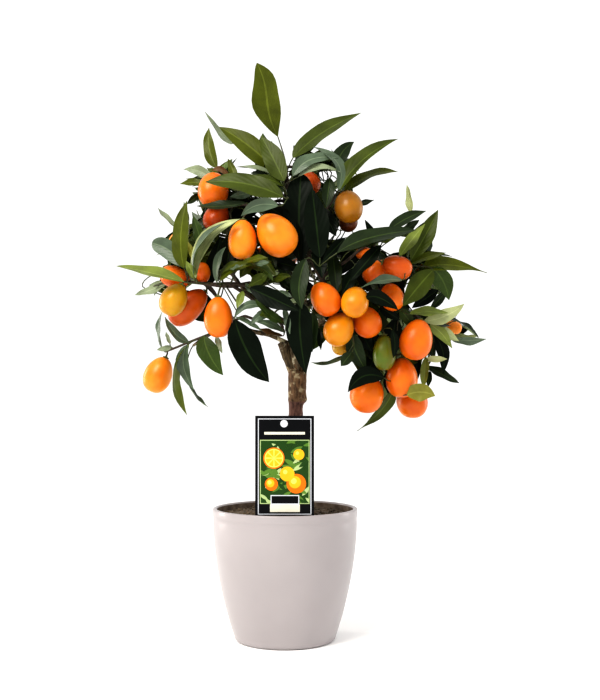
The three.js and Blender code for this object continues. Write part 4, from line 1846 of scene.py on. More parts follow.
@dataclass
class Branching:
    """Wood that grows on from the limbs, out to every leaf and fruit.

    Each node knows its parent. A shoot leaves the node that is nearest, and best aimed, to its goal, and
    a node is as thick as what it carries makes it: the powers of its children's radii add up to its own.
    """

    step: float = 5.0
    wander: float = 0.8
    wander_turn: float = 0.4
    wander_bends: float = 2.3
    power: float = 2.8
    thinnest: float = 0.45
    thickest: float = 2.0
    shortest: float = 1.5
    near_cost: float = 4.0
    turning_cost: float = 0.6
    leaving_share: float = 0.5
    arriving_share: float = 0.7
    bow: Pair = (0.36, 0.1)  # share of a shoot's span to its controls, at most and at least
    bow_span: float = 120.0  # the span at which that share would have grown by one
    colours_from: Pair = (0.7, 1.15)  # radii at which the skin ripens, and turns woody
    most: int = 60000
    sides: int = 7
    seed: int = 11

    def __post_init__(self) -> None:
        """Sets the first nodes, along the outer two thirds of the limbs."""
        self.rng = random.Random(self.seed)
        self.points = np.empty((self.most, 3))
        self.ways = np.empty((self.most, 3))
        self.open = np.zeros(self.most, bool)
        self.parents: list[int] = []
        self.loads: list[float] = []
        self.shoots: list[tuple[str, list[int]]] = []
        for name, limb in LIMBS.items():
            if name == "pruned_stub":
                continue
            route = smooth_route(limb.route, self.step)
            start = len(route) // 3
            for point, way in zip(route[start:], unit(np.gradient(route, axis=0))[start:]):
                self.add(point, way, -1, True)

    def add(self, point: Array, way: Array, parent: int, is_open: bool) -> int:
        """Adds a node.

        Args:
            point: its place.
            way: the way that the wood runs there.
            parent: the node that it grows from, or -1.
            is_open: whether other shoots may leave from it.

        Returns:
            Its number.
        """
        number = len(self.parents)
        self.points[number] = point
        self.ways[number] = way
        self.open[number] = is_open
        self.parents.append(parent)
        self.loads.append(0.0)
        return number

    def nearest(self, goal: Array, arrival: Array) -> int:
        """Returns the node from which the way to a goal is shortest and straightest.

        Args:
            goal: where the shoot ends.
            arrival: the way that it runs there.
        """
        count = len(self.parents)
        off = goal - self.points[:count]
        distance = np.linalg.norm(off, axis=1)
        ways = off / np.maximum(distance, TINY)[:, None]
        leaving = 1 - np.sum(self.ways[:count] * ways, axis=1)
        arriving = 1 - ways @ arrival
        turning = self.leaving_share * leaving + self.arriving_share * arriving
        cost = (distance + self.near_cost) * (1 + self.turning_cost * turning)
        return int(np.argmin(np.where(self.open[:count], cost, np.inf)))

    def grow(self, goal: Array, arrival: Array, owner: str, radius: float = 0.0, stalk: int = 0) -> int:
        """Grows a shoot.

        Args:
            goal: where it ends.
            arrival: the way that it runs there.
            owner: the mass of foliage that it belongs to.
            radius: what its end carries, as the radius of a stalk.
            stalk: how many of its last nodes are a bare stalk.

        Returns:
            The number of its last node.
        """
        root = self.nearest(goal, arrival)
        start, way = self.points[root], self.ways[root]
        span = float(np.linalg.norm(goal - start))
        if span < self.shortest:
            return root
        lead = unit(0.5 * way + 0.5 * (goal - start) / span)
        reach = span * min(self.bow[0], self.bow[1] + span / self.bow_span)
        controls = (start, start + lead * reach, goal - arrival * reach, goal)
        count = max(2, math.ceil(span / self.step))
        drift = np.array([self.rng.uniform(-1, 1) for _ in range(3)]) * self.wander
        phase = self.rng.uniform(-self.wander_turn, self.wander_turn)
        route = []
        for i in range(1, count + 1):
            t = i / count
            weights = ((1 - t) ** 3, 3 * t * (1 - t) ** 2, 3 * t * t * (1 - t), t ** 3)
            sway = math.sin(math.pi * t) * math.sin(self.wander_bends * math.pi * t + phase)
            route.append(sum(w * c for w, c in zip(weights, controls)) + drift * sway)
        return self.extend(root, route, owner, radius, stalk)

    def extend(self, root: int, route: Sequence[Array], owner: str, radius: float = 0.0,
               stalk: int = 0) -> int:
        """Grows a shoot along given points.

        Args:
            root: the node that it grows from.
            route: its points.
            owner: the mass of foliage that it belongs to.
            radius: what its end carries, as the radius of a stalk.
            stalk: how many of its last nodes are a bare stalk.

        Returns:
            The number of its last node.
        """
        chain = [root]
        before = self.points[root]
        for i, point in enumerate(route):
            chain.append(self.add(point, unit(point - before), chain[-1], i < len(route) - stalk))
            before = point
        self.shoots.append((owner, chain))
        self.loads[chain[-1]] += radius ** self.power
        return chain[-1]

    def radii(self) -> Array:
        """Returns the radius of each node."""
        loads = np.array(self.loads)
        for i in range(len(loads) - 1, -1, -1):
            if self.parents[i] >= 0:
                loads[self.parents[i]] += loads[i]
        return np.where(loads > 0, np.clip(loads ** (1 / self.power), self.thinnest, self.thickest), 0)

    def draw(self, drafts: dict[str, MeshDraft]) -> None:
        """Adds every shoot that carries something to the draft of its mass.

        Args:
            drafts: the drafts, by mass.
        """
        radii = self.radii()
        for owner, whole in self.shoots:
            chain = [whole[0], *[i for i in whole[1:] if radii[i] > 0]]
            if len(chain) < 2:
                continue
            own = radii[chain[1:]]
            thickness = np.concatenate([own[:1], own])
            kinds = np.digitize(thickness[1:], self.colours_from)
            drafts[owner].tube(self.points[chain], thickness, self.sides, kinds)


# ---- Filling the crown --------------------------------------------------------------------------


@dataclass
class Outlook:
    """A map of the crown as seen from one side, in cells: where foliage is wanted, and where it is.

    shape is its rows and columns. project gives the column, row and distance of points, and ray the
    start and way of the sight line through a column and row, which has to meet as many leaves as layers.
    """

    name: str
    shape: tuple[int, int]
    project: Callable[[Array], Array]
    ray: Callable[[float, float], tuple[Array, Array]]
    layers: int
    bare_share: float = 0.4  # of a patch, from which it counts as bare

    def __post_init__(self) -> None:
        """Starts with nothing wanted and nothing there."""
        self.owner = np.full(self.shape, -1)
        self.surface = np.zeros((*self.shape, 3))
        self.covered = np.zeros(self.shape, int)
        self.given_up = np.zeros(self.shape, bool)
        self.near = np.full(self.shape, np.inf)

    def survey(self, trees: Sequence[BVHTree]) -> None:
        """Finds which mass of the construction model each sight line meets first, and where.

        Args:
            trees: the masses' surfaces.
        """
        for row, column in np.ndindex(self.shape):
            start, way = self.ray(column + 0.5, row + 0.5)
            best = np.inf
            for number, tree in enumerate(trees):
                hit, _, _, distance = tree.ray_cast(Vector(start), Vector(way))
                if hit is not None and distance < best:
                    best = distance
                    self.owner[row, column] = number
                    self.surface[row, column] = hit

    def cells(self, points: Array) -> tuple[Array, Array, Array]:
        """Finds the cells of points.

        Args:
            points: the points.

        Returns:
            The row, column and distance of those that fall on the map.
        """
        seen = self.project(points)
        column = np.floor(seen[:, 0]).astype(int)
        row = np.floor(seen[:, 1]).astype(int)
        inside = (row >= 0) & (row < self.shape[0]) & (column >= 0) & (column < self.shape[1])
        return row[inside], column[inside], seen[inside, 2]

    def cover(self, points: Array, leading: bool = False) -> None:
        """Marks what points cover.

        Args:
            points: the points.
            leading: whether they belong to a leading leaf or fruit, so that it counts how near they are.
        """
        row, column, distance = self.cells(points)
        self.covered[row, column] += 1  # once for each cell, however many of the points fall in it
        if leading:
            np.minimum.at(self.near, (row, column), distance)

    def emptiest(self, reach: int, rng: random.Random) -> tuple[int, int] | None:
        """Returns the middle of one of the barest patches of wanted cells, or nothing if all are filled.

        Args:
            reach: half the width of a patch, in cells.
            rng: picks one of them.
        """
        bare = ((self.owner >= 0) & (self.covered < self.layers) & ~self.given_up).astype(float)
        total = np.pad(bare, reach + 1).cumsum(0).cumsum(1)
        span = 2 * reach + 1
        sums = total[span:, span:] - total[:-span, span:] - total[span:, :-span] + total[:-span, :-span]
        sums = sums[: bare.shape[0], : bare.shape[1]] * bare
        if sums.max() < self.bare_share * span * span:
            return None
        rows, columns = np.where(sums >= sums.max() - 1)
        pick = rng.randrange(len(rows))
        return int(rows[pick]), int(columns[pick])

    def give_up(self, spot: tuple[int, int]) -> None:
        """Leaves a cell and those round it bare."""
        self.given_up[spot[0] - 1 : spot[0] + 2, spot[1] - 1 : spot[1] + 2] = True


@dataclass(frozen=True)
class Filling:
    """How one round of filling goes.

    reach is half the width of the patches to fill, in cells, inset how far behind the mass's surface a
    spray may end, tints are the greens to deal out, and singles says that single leaves grow in place
    of sprays.
    """

    reach: int
    inset: Pair
    tints: Sequence[Tint]
    singles: bool = False


# Painted shade: sprays deep inside the crown are dealt the near-black and dark greens for the shade that
# falls there, and the outer sprays lighter greens.
SHADE = (T.DEEP, T.DEEP, T.DARK, T.DARK, T.DEEP, T.MID)
LIGHT = (T.DARK, T.MID, T.DARK, T.MID, T.OLIVE, T.DEEP, T.DARK, T.OLIVE, T.GREY)
OUTER_SPRAYS = Filling(2, (2, 22), LIGHT)
INNER_SPRAYS = Filling(4, (16, 60), SHADE)
INNER_LEAVES = Filling(2, (16, 70), SHADE, True)
OUTER_LEAVES = Filling(1, (4, 40), LIGHT, True)


@dataclass
class Crown:
    """The twigs, leaves and fruit, by mass of foliage.

    The leading leaves and fruit go to their places first. The rest of each mass is filled by sprays of
    a seeded branching rule, which keep to the masses and stay off the gaps where the sky shows.
    """

    seed: int = 5
    cell: int = 3  # of the front's map, in pixels
    side_cell: float = 5.0  # of the other maps, in millimetres
    side_layers: int = 2
    sides: tuple[tuple[str, float, float], ...] = (  # name, azimuth and elevation in degrees
        ("back", 180, 0), ("left", 270, 0), ("right", 90, 0), ("back_left", 225, 0), ("back_right", 135, 0),
        ("top", 0, 80), ("front_left", 315, 20), ("front_right", 45, 20),
    )
    fruit_sides: int = 6  # how many of them, from the first, hidden fruit may hang on
    middle: Point = (20.0, 5.0, 400.0)
    main_rise: float = 20.0
    leaf_stalk: float = 0.55
    fruit_stalk: float = 0.9
    stalk_nodes: int = 2

    # Leading fruit and leaves
    fruit_sunk: float = 20.0
    fruit_step: float = 4.0
    fruit_tries: int = 12
    fruit_length: float = 1.28  # least length of a leading fruit, as a share of its girth
    fruit_gap: float = 0.97  # least reach between two fruits
    leaf_sunk: float = 12.0
    leaf_slope: float = 14.0  # most that a leading leaf goes back or forward
    leaf_arch: float = 4.0
    leaf_twist: float = 8.0
    leaf_wave: Pair = (0.5, 1.3)
    leaf_rows: int = 18
    leaf_dip: float = 1.5
    lit_from: Point = (-0.35, -0.2, 0.9)
    well_before: float = 26.0  # a leaf this far before a fruit may cross it
    over_gap: float = 1.5
    under_gap: float = 1.0
    under_share: float = 0.6
    touching: float = 0.02
    most_shift: Pair = (-30.0, 34.0)

    # Sprays
    slenderness: Pair = (0.3, 0.4)
    golden_turn: float = math.radians(137.5)
    spray_leaves: tuple[int, int] = (4, 7)
    spray_length: Pair = (24.0, 42.0)
    spray_end: Pair = (-10.0, 14.0)
    single_back: float = 26.0
    spread: float = 0.45
    rise: float = 0.35
    first_share: float = 0.6
    lean: Point = (68.0, -38.0, 8.0)  # of a leaf off the shoot: at its start, gained to its end, by chance
    droop: Pair = (0.0, 0.25)
    tip_droop: Pair = (0.0, 0.18)
    leaf_length: Pair = (48.0, 74.0)
    middle_longer: Pair = (0.82, 0.3)
    foot_off: Pair = (5.0, 9.0)
    arch: Pair = (0.02, 0.16)
    facing: Point = (0.7, 0.7, -0.15)  # of a leaf's face: along the shoot, up, and out from it
    fold: Pair = (8.0, 24.0)
    twist: Pair = (-18.0, 18.0)
    curl: Pair = (0.0, 6.0)
    wave: Pair = (0.4, 1.6)
    tries: int = 10
    rounds: int = 4000
    margin: float = 8.0  # how far a leaf may pass the masses' box
    sky_share: float = 0.05
    before_share: float = 0.06
    behind: float = 2.0
    near_fruit: float = 110.0
    leaf_clear: float = 1.06
    longest_shoot: float = 55.0
    sky_steps: int = 12

    # Fruit at the back
    back_fruit: int = 30
    fruit_rounds: int = 900
    fruit_inset: Pair = (4.0, 16.0)
    fruit_front: float = 5.0
    fruit_top: float = 520.0
    cluster: tuple[int, ...] = (1, 2, 2, 3)
    cluster_spread: tuple[Pair, Pair, Pair] = ((-24.0, 24.0), (-16.0, 16.0), (-26.0, 10.0))
    nod: float = 0.5
    girth: Pair = (27.0, 32.0)
    oval: Pair = (1.25, 1.45)
    peels: tuple[Peel, ...] = (P.ORANGE, P.ORANGE, P.LIGHT, P.GOLD, P.RED)
    half_hidden: float = 0.4
    hidden_share: float = 0.9

    SIDE = np.array((0.2, 0.3, 1.0))  # from which the leaves of a spray are turned

    def __post_init__(self) -> None:
        """Sets up the wood, the masses of the frame and the maps."""
        self.rng = random.Random(self.seed)
        self.wood = Branching()
        self.blades: list[Blade] = []
        self.berries: list[Berry] = []
        nodes = sorted(node for node in bpy.data.objects.keys() if node.startswith("foliage_"))
        self.masses = [node.removeprefix("foliage_") for node in nodes]
        self.shapes = []
        for node in nodes:
            mesh = bpy.data.objects[node].data
            corners = [vertex.co / MM for vertex in mesh.vertices]
            self.shapes.append(BVHTree.FromPolygons(corners, [list(face.vertices) for face in mesh.polygons]))
        boxes = [node_box(node) for node in nodes]
        self.low = np.min([low for low, _ in boxes], axis=0)
        self.high = np.max([high for _, high in boxes], axis=0)

    # ---- Leading leaves, fruit and twigs

    def place_fruit(self) -> None:
        """Places the leading fruit, each pushed back until it is clear of those before it."""
        for owner, fruits in LEADING_FRUIT.items():
            for fruit in fruits:
                depth = HEAD.front(halfway(fruit.stem, fruit.end)) + self.fruit_sunk - fruit.ahead
                for _ in range(self.fruit_tries):
                    berry = self.berry(fruit, depth, owner)
                    if all(self.clear(berry, other) for other in self.berries):
                        break
                    depth += self.fruit_step
                self.berries.append(berry)
        self.leading_fruit = len(self.berries)

    def berry(self, fruit: Fruit, depth: float, owner: str) -> Berry:
        """Returns a leading fruit in space.

        Args:
            fruit: the fruit as seen.
            depth: y of its middle.
            owner: the mass that it belongs to.
        """
        scale = FRONT.unit_per_pixel(depth)
        seen = math.dist(fruit.stem, fruit.end) * scale
        girth = fruit.girth * scale
        length = max(seen, self.fruit_length * girth)
        nod = math.sqrt(max(0.0, length * length - seen * seen)) / 2
        stem = FRONT.place(fruit.stem, depth + nod)
        end = FRONT.place(fruit.end, depth - nod)
        return Berry(stem, unit(end - stem), length, girth, fruit.peel, owner, self.rng.uniform(0, TURN))

    def clear(self, one: Berry, other: Berry) -> bool:
        """Tells whether two fruits stay out of each other.

        Args:
            one: a fruit.
            other: another.

        Returns:
            Whether they do.
        """
        if np.linalg.norm(one.centre - other.centre) > (one.length + other.length) / 2:
            return True
        return bool(other.reach(one.samples()).min() > self.fruit_gap)

    def blade(self, leaf: Leaf, owner: str) -> Blade:
        """Returns a leading leaf in space, on the right side of the fruit that it crosses.

        Args:
            leaf: the leaf as seen.
            owner: the mass that it belongs to.
        """
        rng = self.rng
        foot_depth = HEAD.front(leaf.foot) + self.leaf_sunk - leaf.ahead
        reach = HEAD.front(leaf.tip) - leaf.ahead - foot_depth
        tip_depth = foot_depth + max(-self.leaf_slope, min(self.leaf_slope, reach))
        middle = halfway(leaf.foot, leaf.tip)
        via = leaf.via or middle
        bend_pixel = (2 * via[0] - middle[0], 2 * via[1] - middle[1])
        foot, tip = FRONT.place(leaf.foot, foot_depth), FRONT.place(leaf.tip, tip_depth)
        bend = FRONT.place(bend_pixel, (foot_depth + tip_depth) / 2 - self.leaf_arch)
        seen = leaf.seen * FRONT.unit_per_pixel(foot_depth)
        breadth = max(seen, self.slenderness[0] * float(np.linalg.norm(tip - foot)))
        roll = math.acos(min(1.0, seen / breadth))
        way = unit(tip - foot)
        facing = square_to(-FRONT.ray(middle), way)
        across = np.cross(way, facing)
        lit = 1 if np.dot(across, self.lit_from) > 0 else -1
        upper = facing * math.cos(roll) + across * math.sin(roll) * lit * leaf.turn
        made = Blade(foot, bend, tip, upper, breadth, leaf.tint, owner, leaf.outline, leaf.fold,
                     twist=rng.uniform(-self.leaf_twist, self.leaf_twist), wave=rng.uniform(*self.leaf_wave),
                     phase=rng.uniform(0, TURN), sway=leaf.sway, ragged=leaf.ragged, rows=self.leaf_rows)
        shift = self.shift_for_fruit(made, leaf.over)
        if shift:
            made.move(leaf.foot, bend_pixel, leaf.tip, shift)
        lift = breadth / 2 * math.sin(math.radians(leaf.fold))
        made.bend = made.bend - upper * self.leaf_dip * lift  # the margins rise off the rib, so the rib dips
        return made

    def shift_for_fruit(self, blade: Blade, over: bool) -> float:
        """Returns how far back a leaf must go to pass on the right side of the fruit that it crosses.

        Args:
            blade: the leaf.
            over: whether it passes before them.
        """
        points = blade.samples()
        pixels = FRONT.project(points)
        shift = 0.0
        for berry in self.berries:
            rim = FRONT.project(berry.samples())
            low, high = rim.min(axis=0), rim.max(axis=0)
            centre, half = (low + high) / 2, (high - low) / 2
            off = np.hypot((pixels[:, 0] - centre[0]) / half[0], (pixels[:, 1] - centre[1]) / half[1])
            inside = off < 1
            if not inside.any():
                continue
            swell = half[2] * np.sqrt(1 - off[inside] ** 2)
            depth = points[inside, 1]
            if centre[2] - depth.mean() > self.well_before:
                continue
            if over:
                shift = min(shift, float((centre[2] - swell - self.over_gap - depth).min()))
            elif float(np.mean(inside)) > self.touching:
                behind = centre[2] + self.under_share * swell + self.under_gap
                shift = max(shift, float((behind - depth).max()))
        return max(self.most_shift[0], min(self.most_shift[1], shift))

    def place_twigs(self) -> None:
        """Grows a main shoot into each mass, and then the twigs that show."""
        for mass in self.masses:
            goal = sum(node_box(f"foliage_{mass}")) / 2
            self.wood.grow(goal, unit(goal - np.array(self.middle) + UP * self.main_rise), mass)
        for owner, twigs in LEADING_TWIGS.items():
            for twig in twigs:
                route = [tuple(FRONT.place(pixel, HEAD.front(pixel) + twig.back)) for pixel in twig.route]
                line = smooth_route(route, self.wood.step)
                last = self.wood.grow(line[0], unit(line[1] - line[0]), owner)
                self.wood.extend(last, list(line[1:]), owner, self.leaf_stalk)

    def feed(self) -> None:
        """Grows a stalk to every leading leaf and fruit, those nearest the limbs first."""
        ends = [(blade.foot, unit(blade.bend - blade.foot), blade.owner, self.leaf_stalk)
                for blade in self.blades]
        ends += [(berry.stem - berry.axis, berry.axis, berry.owner, self.fruit_stalk)
                 for berry in self.berries]
        limbs = self.wood.points[: len(self.wood.parents)].copy()
        ends.sort(key=lambda end: float(np.linalg.norm(limbs - end[0], axis=1).min()))
        for goal, way, owner, radius in ends:
            self.wood.grow(goal, way, owner, radius, self.stalk_nodes)

    # ---- Maps

    def front_outlook(self) -> Outlook:
        """Returns the map from the camera, with the sky's gaps cut out of what is wanted."""
        cell = self.cell

        def project(points: Array) -> Array:
            """Returns columns and rows in cells, and depth."""
            return FRONT.project(points) / (cell, cell, 1)

        def ray(column: float, row: float) -> tuple[Array, Array]:
            """Returns the sight line through a cell."""
            return np.array(FRONT.station), unit(FRONT.ray((column * cell, row * cell)))

        outlook = Outlook("front", (FRONT.height // cell, FRONT.width // cell), project, ray, 1)
        outlook.survey(self.shapes)
        for left, top, right, foot in SKY_GAPS:
            outlook.owner[top // cell : foot // cell + 1, left // cell : right // cell + 1] = -1
        return outlook

    def side_outlook(self, name: str, azimuth: float, elevation: float) -> Outlook:
        """Returns the map from one side, without perspective.

        Args:
            name: the side's name.
            azimuth: where the viewer stands, in degrees from the front towards the tree's right.
            elevation: how far above the horizon.
        """
        a, e = math.radians(azimuth), math.radians(elevation)
        back = np.array((math.sin(a) * math.cos(e), -math.cos(a) * math.cos(e), math.sin(e)))
        right = np.array((math.cos(a), math.sin(a), 0.0))
        up = np.cross(back, right)
        centre = (self.low + self.high) / 2
        half = float(np.linalg.norm(self.high - self.low)) / 2
        cell = self.side_cell
        count = int(2 * half / cell)

        def project(points: Array) -> Array:
            """Returns columns and rows in cells, and the distance behind the middle."""
            off = points - centre
            return np.stack([(off @ right + half) / cell, (half - off @ up) / cell, -(off @ back)], -1)

        def ray(column: float, row: float) -> tuple[Array, Array]:
            """Returns the sight line through a cell."""
            start = centre + right * (column * cell - half) + up * (half - row * cell) + back * 2 * half
            return start, -back

        outlook = Outlook(name, (count, count), project, ray, self.side_layers)
        outlook.survey(self.shapes)
        return outlook

    # ---- Sprays

    def spray(self, end: Array, way: Array, owner: str, tints: Sequence[Tint],
              count: int) -> tuple[Array, list[tuple[Array, Blade]]]:
        """Plans a spray: leaves set a golden turn apart round the end of a shoot.

        Args:
            end: where the shoot ends.
            way: the way that it points.
            owner: the mass that it belongs to.
            tints: the greens that it may have.
            count: how many leaves it has.

        Returns:
            Where the spray starts, and each leaf with the point where its stalk leaves the shoot.
        """
        rng = self.rng
        length = rng.uniform(*self.spray_length)
        start = end - way * length
        side = square_to(self.SIDE, way)
        rise = np.cross(way, side)
        tint = rng.choice(tints)
        turn = rng.uniform(0, TURN)
        steep, less, chance = self.lean
        along, up, out = self.facing
        leaves = []
        for i in range(count):
            share = (i + self.first_share) / count
            node = start + way * length * share
            lean = math.radians(steep + less * share + rng.uniform(-chance, chance))
            around = math.cos(turn) * side + math.sin(turn) * rise
            heading = unit(way * math.cos(lean) + around * math.sin(lean) - UP * rng.uniform(*self.droop))
            longer = self.middle_longer[0] + self.middle_longer[1] * math.sin(math.pi * share)
            size = rng.uniform(*self.leaf_length) * longer
            foot = node + heading * rng.uniform(*self.foot_off)
            tip = foot + heading * size - UP * size * rng.uniform(*self.tip_droop)
            upper = square_to(way * along + UP * up + around * out, heading)
            bend = (foot + tip) / 2 + upper * size * rng.uniform(*self.arch)
            breadth = size * rng.uniform(*self.slenderness)
            outline = rng.choice((O.ACUTE, O.ACUTE, O.ACUMINATE))
            shape = [rng.uniform(*span) for span in (self.fold, self.twist, self.curl, self.wave, (0, TURN))]
            leaves.append((node, Blade(foot, bend, tip, upper, breadth, tint, owner, outline, *shape)))
            turn += self.golden_turn
        return start, leaves

    def in_reach(self, start: Array, way: Array, front: Outlook) -> bool:
        """Returns whether wood is near enough to a spray, with no sky between them.

        Args:
            start: where the spray starts.
            way: the way that it points.
            front: the front's map.
        """
        root = self.wood.points[self.wood.nearest(start, way)]
        if np.linalg.norm(start - root) > self.longest_shoot:
            return False
        shares = np.linspace(0, 1, self.sky_steps)[:, None]
        row, column, _ = front.cells(root + shares * (start - root))
        return not (front.owner[row, column] < 0).any()

    def fits(self, blade: Blade, front: Outlook) -> bool:
        """Returns whether a leaf keeps to the crown, off the sky, behind what leads and out of the fruit.

        Args:
            blade: the leaf.
            front: the front's map.
        """
        rib = np.array((blade.foot, (blade.foot + blade.tip) / 2, blade.tip))
        row, column, _ = front.cells(rib)
        if len(row) < len(rib) or (front.owner[row, column] < 0).any():
            return False
        points = blade.samples()
        if (points < self.low - self.margin).any() or (points > self.high + self.margin).any():
            return False
        row, column, distance = front.cells(points)
        if float(np.mean(front.owner[row, column] < 0)) > self.sky_share:
            return False
        if float(np.mean(distance < front.near[row, column] + self.behind)) > self.before_share:
            return False
        for berry in self.berries:
            is_near = np.linalg.norm(blade.foot - berry.centre) < self.near_fruit
            if is_near and berry.reach(points).min() < self.leaf_clear:
                return False
        return True

    def fill(self, outlook: Outlook, maps: Sequence[Outlook], filling: Filling) -> None:
        """Fills the bare patches of one side with sprays.

        Args:
            outlook: the side's map.
            maps: all the maps, that of the front first.
            filling: how it goes.
        """
        rng = self.rng
        grown = 0
        tries: dict[tuple[int, int], int] = {}
        for _ in range(self.rounds):
            spot = outlook.emptiest(filling.reach, rng)
            if spot is None:
                break
            tries[spot] = tries.get(spot, 0) + 1
            if tries[spot] > self.tries:
                outlook.give_up(spot)
                continue
            owner = self.masses[outlook.owner[spot]]
            _, sight = outlook.ray(spot[1] + 0.5, spot[0] + 0.5)
            place = outlook.surface[spot] + sight * rng.uniform(*filling.inset)
            outward = unit(place - np.array(self.middle))
            jitter = np.array([rng.gauss(0, self.spread) for _ in range(3)])
            way = unit(outward + self.rise * UP + jitter)
            if filling.singles:
                count, end = 1, place - way * self.single_back
            else:
                count = rng.randint(*self.spray_leaves)
                end = place + way * rng.uniform(*self.spray_end)
            start, leaves = self.spray(end, way, owner, filling.tints, count)
            kept = [(node, blade) for node, blade in leaves if self.fits(blade, maps[0])]
            if len(kept) < min(2, count) or not self.in_reach(start, way, maps[0]):
                continue
            self.grow_spray(start, way, owner, kept, maps)
            grown += len(kept)
        LOG.info("%s %s: %d leaves", outlook.name, "singles" if filling.singles else "sprays", grown)

    def grow_spray(self, start: Array, way: Array, owner: str, kept: Sequence[tuple[Array, Blade]],
                   maps: Sequence[Outlook]) -> None:
        """Grows a planned spray.

        Args:
            start: where it starts.
            way: the way that it points.
            owner: the mass that it belongs to.
            kept: its leaves with the points where their stalks leave it.
            maps: the maps to mark.
        """
        root = self.wood.grow(start, way, owner)
        for node, blade in kept:
            root = self.wood.extend(root, [node], owner)
            stalk = [(node + blade.foot) / 2, blade.foot]
            self.wood.extend(root, stalk, owner, self.leaf_stalk, self.stalk_nodes)
            self.blades.append(blade)
            for outlook in maps:
                outlook.cover(blade.samples())

    def hang_fruit(self, outlooks: Sequence[Outlook], front: Outlook) -> None:
        """Hangs clusters of fruit just inside the surface, where the front doesn't show them.

        Args:
            outlooks: the maps of the other sides.
            front: the front's map.
        """
        rng = self.rng
        hung = 0
        for _ in range(self.fruit_rounds):
            if hung >= self.back_fruit:
                break
            outlook = rng.choice(list(outlooks))
            rows, columns = np.where(outlook.owner >= 0)
            pick = rng.randrange(len(rows))
            spot = (rows[pick], columns[pick])
            _, sight = outlook.ray(spot[1] + 0.5, spot[0] + 0.5)
            place = outlook.surface[spot] + sight * rng.uniform(*self.fruit_inset)
            if place[1] < self.fruit_front or place[2] > self.fruit_top:
                continue
            owner = self.masses[outlook.owner[spot]]
            for number in range(rng.choice(self.cluster)):
                shift = np.array([rng.uniform(*span) for span in self.cluster_spread])
                nods = [rng.uniform(-self.nod, self.nod) for _ in range(2)]
                axis = unit(np.array((*nods, -1.0)))
                girth = rng.uniform(*self.girth)
                berry = Berry(place + (shift if number else 0), axis, girth * rng.uniform(*self.oval), girth,
                              rng.choice(self.peels), owner, rng.uniform(0, TURN))
                row, column, distance = front.cells(berry.samples())
                hidden = np.mean((front.owner[row, column] >= 0) & (distance > front.near[row, column]))
                shows = (front.owner[row, column] < 0).any() or hidden < self.half_hidden
                if shows or not all(self.clear(berry, other) for other in self.berries):
                    continue
                self.berries.append(berry)
                for each in outlooks:
                    each.cover(berry.samples())
                hung += 1

    def pick_over(self, front: Outlook) -> None:
        """Takes off the fruit at the back that shows from the front, and grows the others' stalks.

        Args:
            front: the front's map.
        """
        nearest = np.full(front.owner.shape, np.inf)
        for blade in self.blades:
            row, column, distance = front.cells(blade.samples())
            np.minimum.at(nearest, (row, column), distance)
        shifts = [(down, along) for down in (-1, 0, 1) for along in (-1, 0, 1)]
        nearest = np.max([np.roll(nearest, shift, (0, 1)) for shift in shifts], axis=0)
        kept = []
        for berry in self.berries[self.leading_fruit :]:
            row, column, distance = front.cells(berry.samples())
            if float(np.mean(nearest[row, column] < distance)) > self.hidden_share:
                kept.append(berry)
                self.wood.grow(berry.stem - berry.axis, berry.axis, berry.owner, self.fruit_stalk,
                               self.stalk_nodes)
        self.berries[self.leading_fruit :] = kept

    # ---- Building

    def grow(self) -> None:
        """Grows the whole crown."""
        self.place_fruit()
        for owner, leaves in LEADING_LEAVES.items():
            self.blades += [self.blade(leaf, owner) for leaf in leaves]
        self.place_twigs()
        self.feed()
        front = self.front_outlook()
        sides = [self.side_outlook(*side) for side in self.sides]
        maps = [front, *sides]
        for thing in (*self.blades, *self.berries):
            front.cover(thing.samples(), leading=True)
            for side in sides:
                side.cover(thing.samples())
        self.hang_fruit(sides[: self.fruit_sides], front)
        for side in sides:
            self.fill(side, maps, OUTER_SPRAYS)
        self.fill(front, maps, INNER_SPRAYS)
        self.fill(front, maps, INNER_LEAVES)
        for side in sides:
            side.given_up[:] = False
            self.fill(side, maps, OUTER_LEAVES)
        self.pick_over(front)

    def leaf_skins(self) -> list[Material]:
        """Returns the blades' materials, then those of their ribs, then that of their undersides."""
        blades, ribs = [], []
        for tint in TINTS:
            name, (blade, rib, gloss) = tint.name.lower(), tint.value
            blades.append(LeafSkin(f"leaf_{name}", blade, gloss=gloss))
            ribs.append(LeafSkin(f"rib_{name}", rib, gloss=gloss, relief_depth=0.02))
        under = LeafSkin("leaf_underside", "#6f7f50", relief_depth=0.12, roughness=0.55)
        return [skin.material() for skin in (*blades, *ribs, under)]

    def build(self) -> None:
        """Builds the twigs, leaves and fruit of each mass."""
        self.grow()
        skins = self.leaf_skins()
        # The green shoots' colour is darkened, partly as painted shade, since most shoots lie in the crown's
        # shade.
        woods = [YoungWood("shoot_green", "#3e4722").material(),
                 YoungWood("shoot_ripening", "#40402a").material(),
                 YoungWood("shoot_woody", "#40342a", roughness=0.75).material()]
        peels = [KumquatPeel(f"peel_{peel.name.lower()}", *peel.value).material() for peel in PEELS]
        peels.append(YoungWood("calyx", "#6a7040", roughness=0.6).material())
        twigs = {mass: MeshDraft() for mass in self.masses}
        self.wood.draw(twigs)
        for mass in self.masses:
            leaves, fruit = MeshDraft(), MeshDraft()
            for things, draft in ((self.blades, leaves), (self.berries, fruit)):
                for thing in things:
                    if thing.owner == mass:
                        thing.draw(draft)
            hand_over(leaves.to_object(f"leaves_{mass}", skins), "leaf", f"foliage_{mass}")
            hand_over(twigs[mass].to_object(f"twigs_{mass}", woods), "twig")
            if fruit.count:
                hand_over(fruit.to_object(f"fruit_{mass}", peels), "fruit")
        LOG.info("%d leaves, %d fruits", len(self.blades), len(self.berries))


# ---- Studio -------------------------------------------------------------------------------------


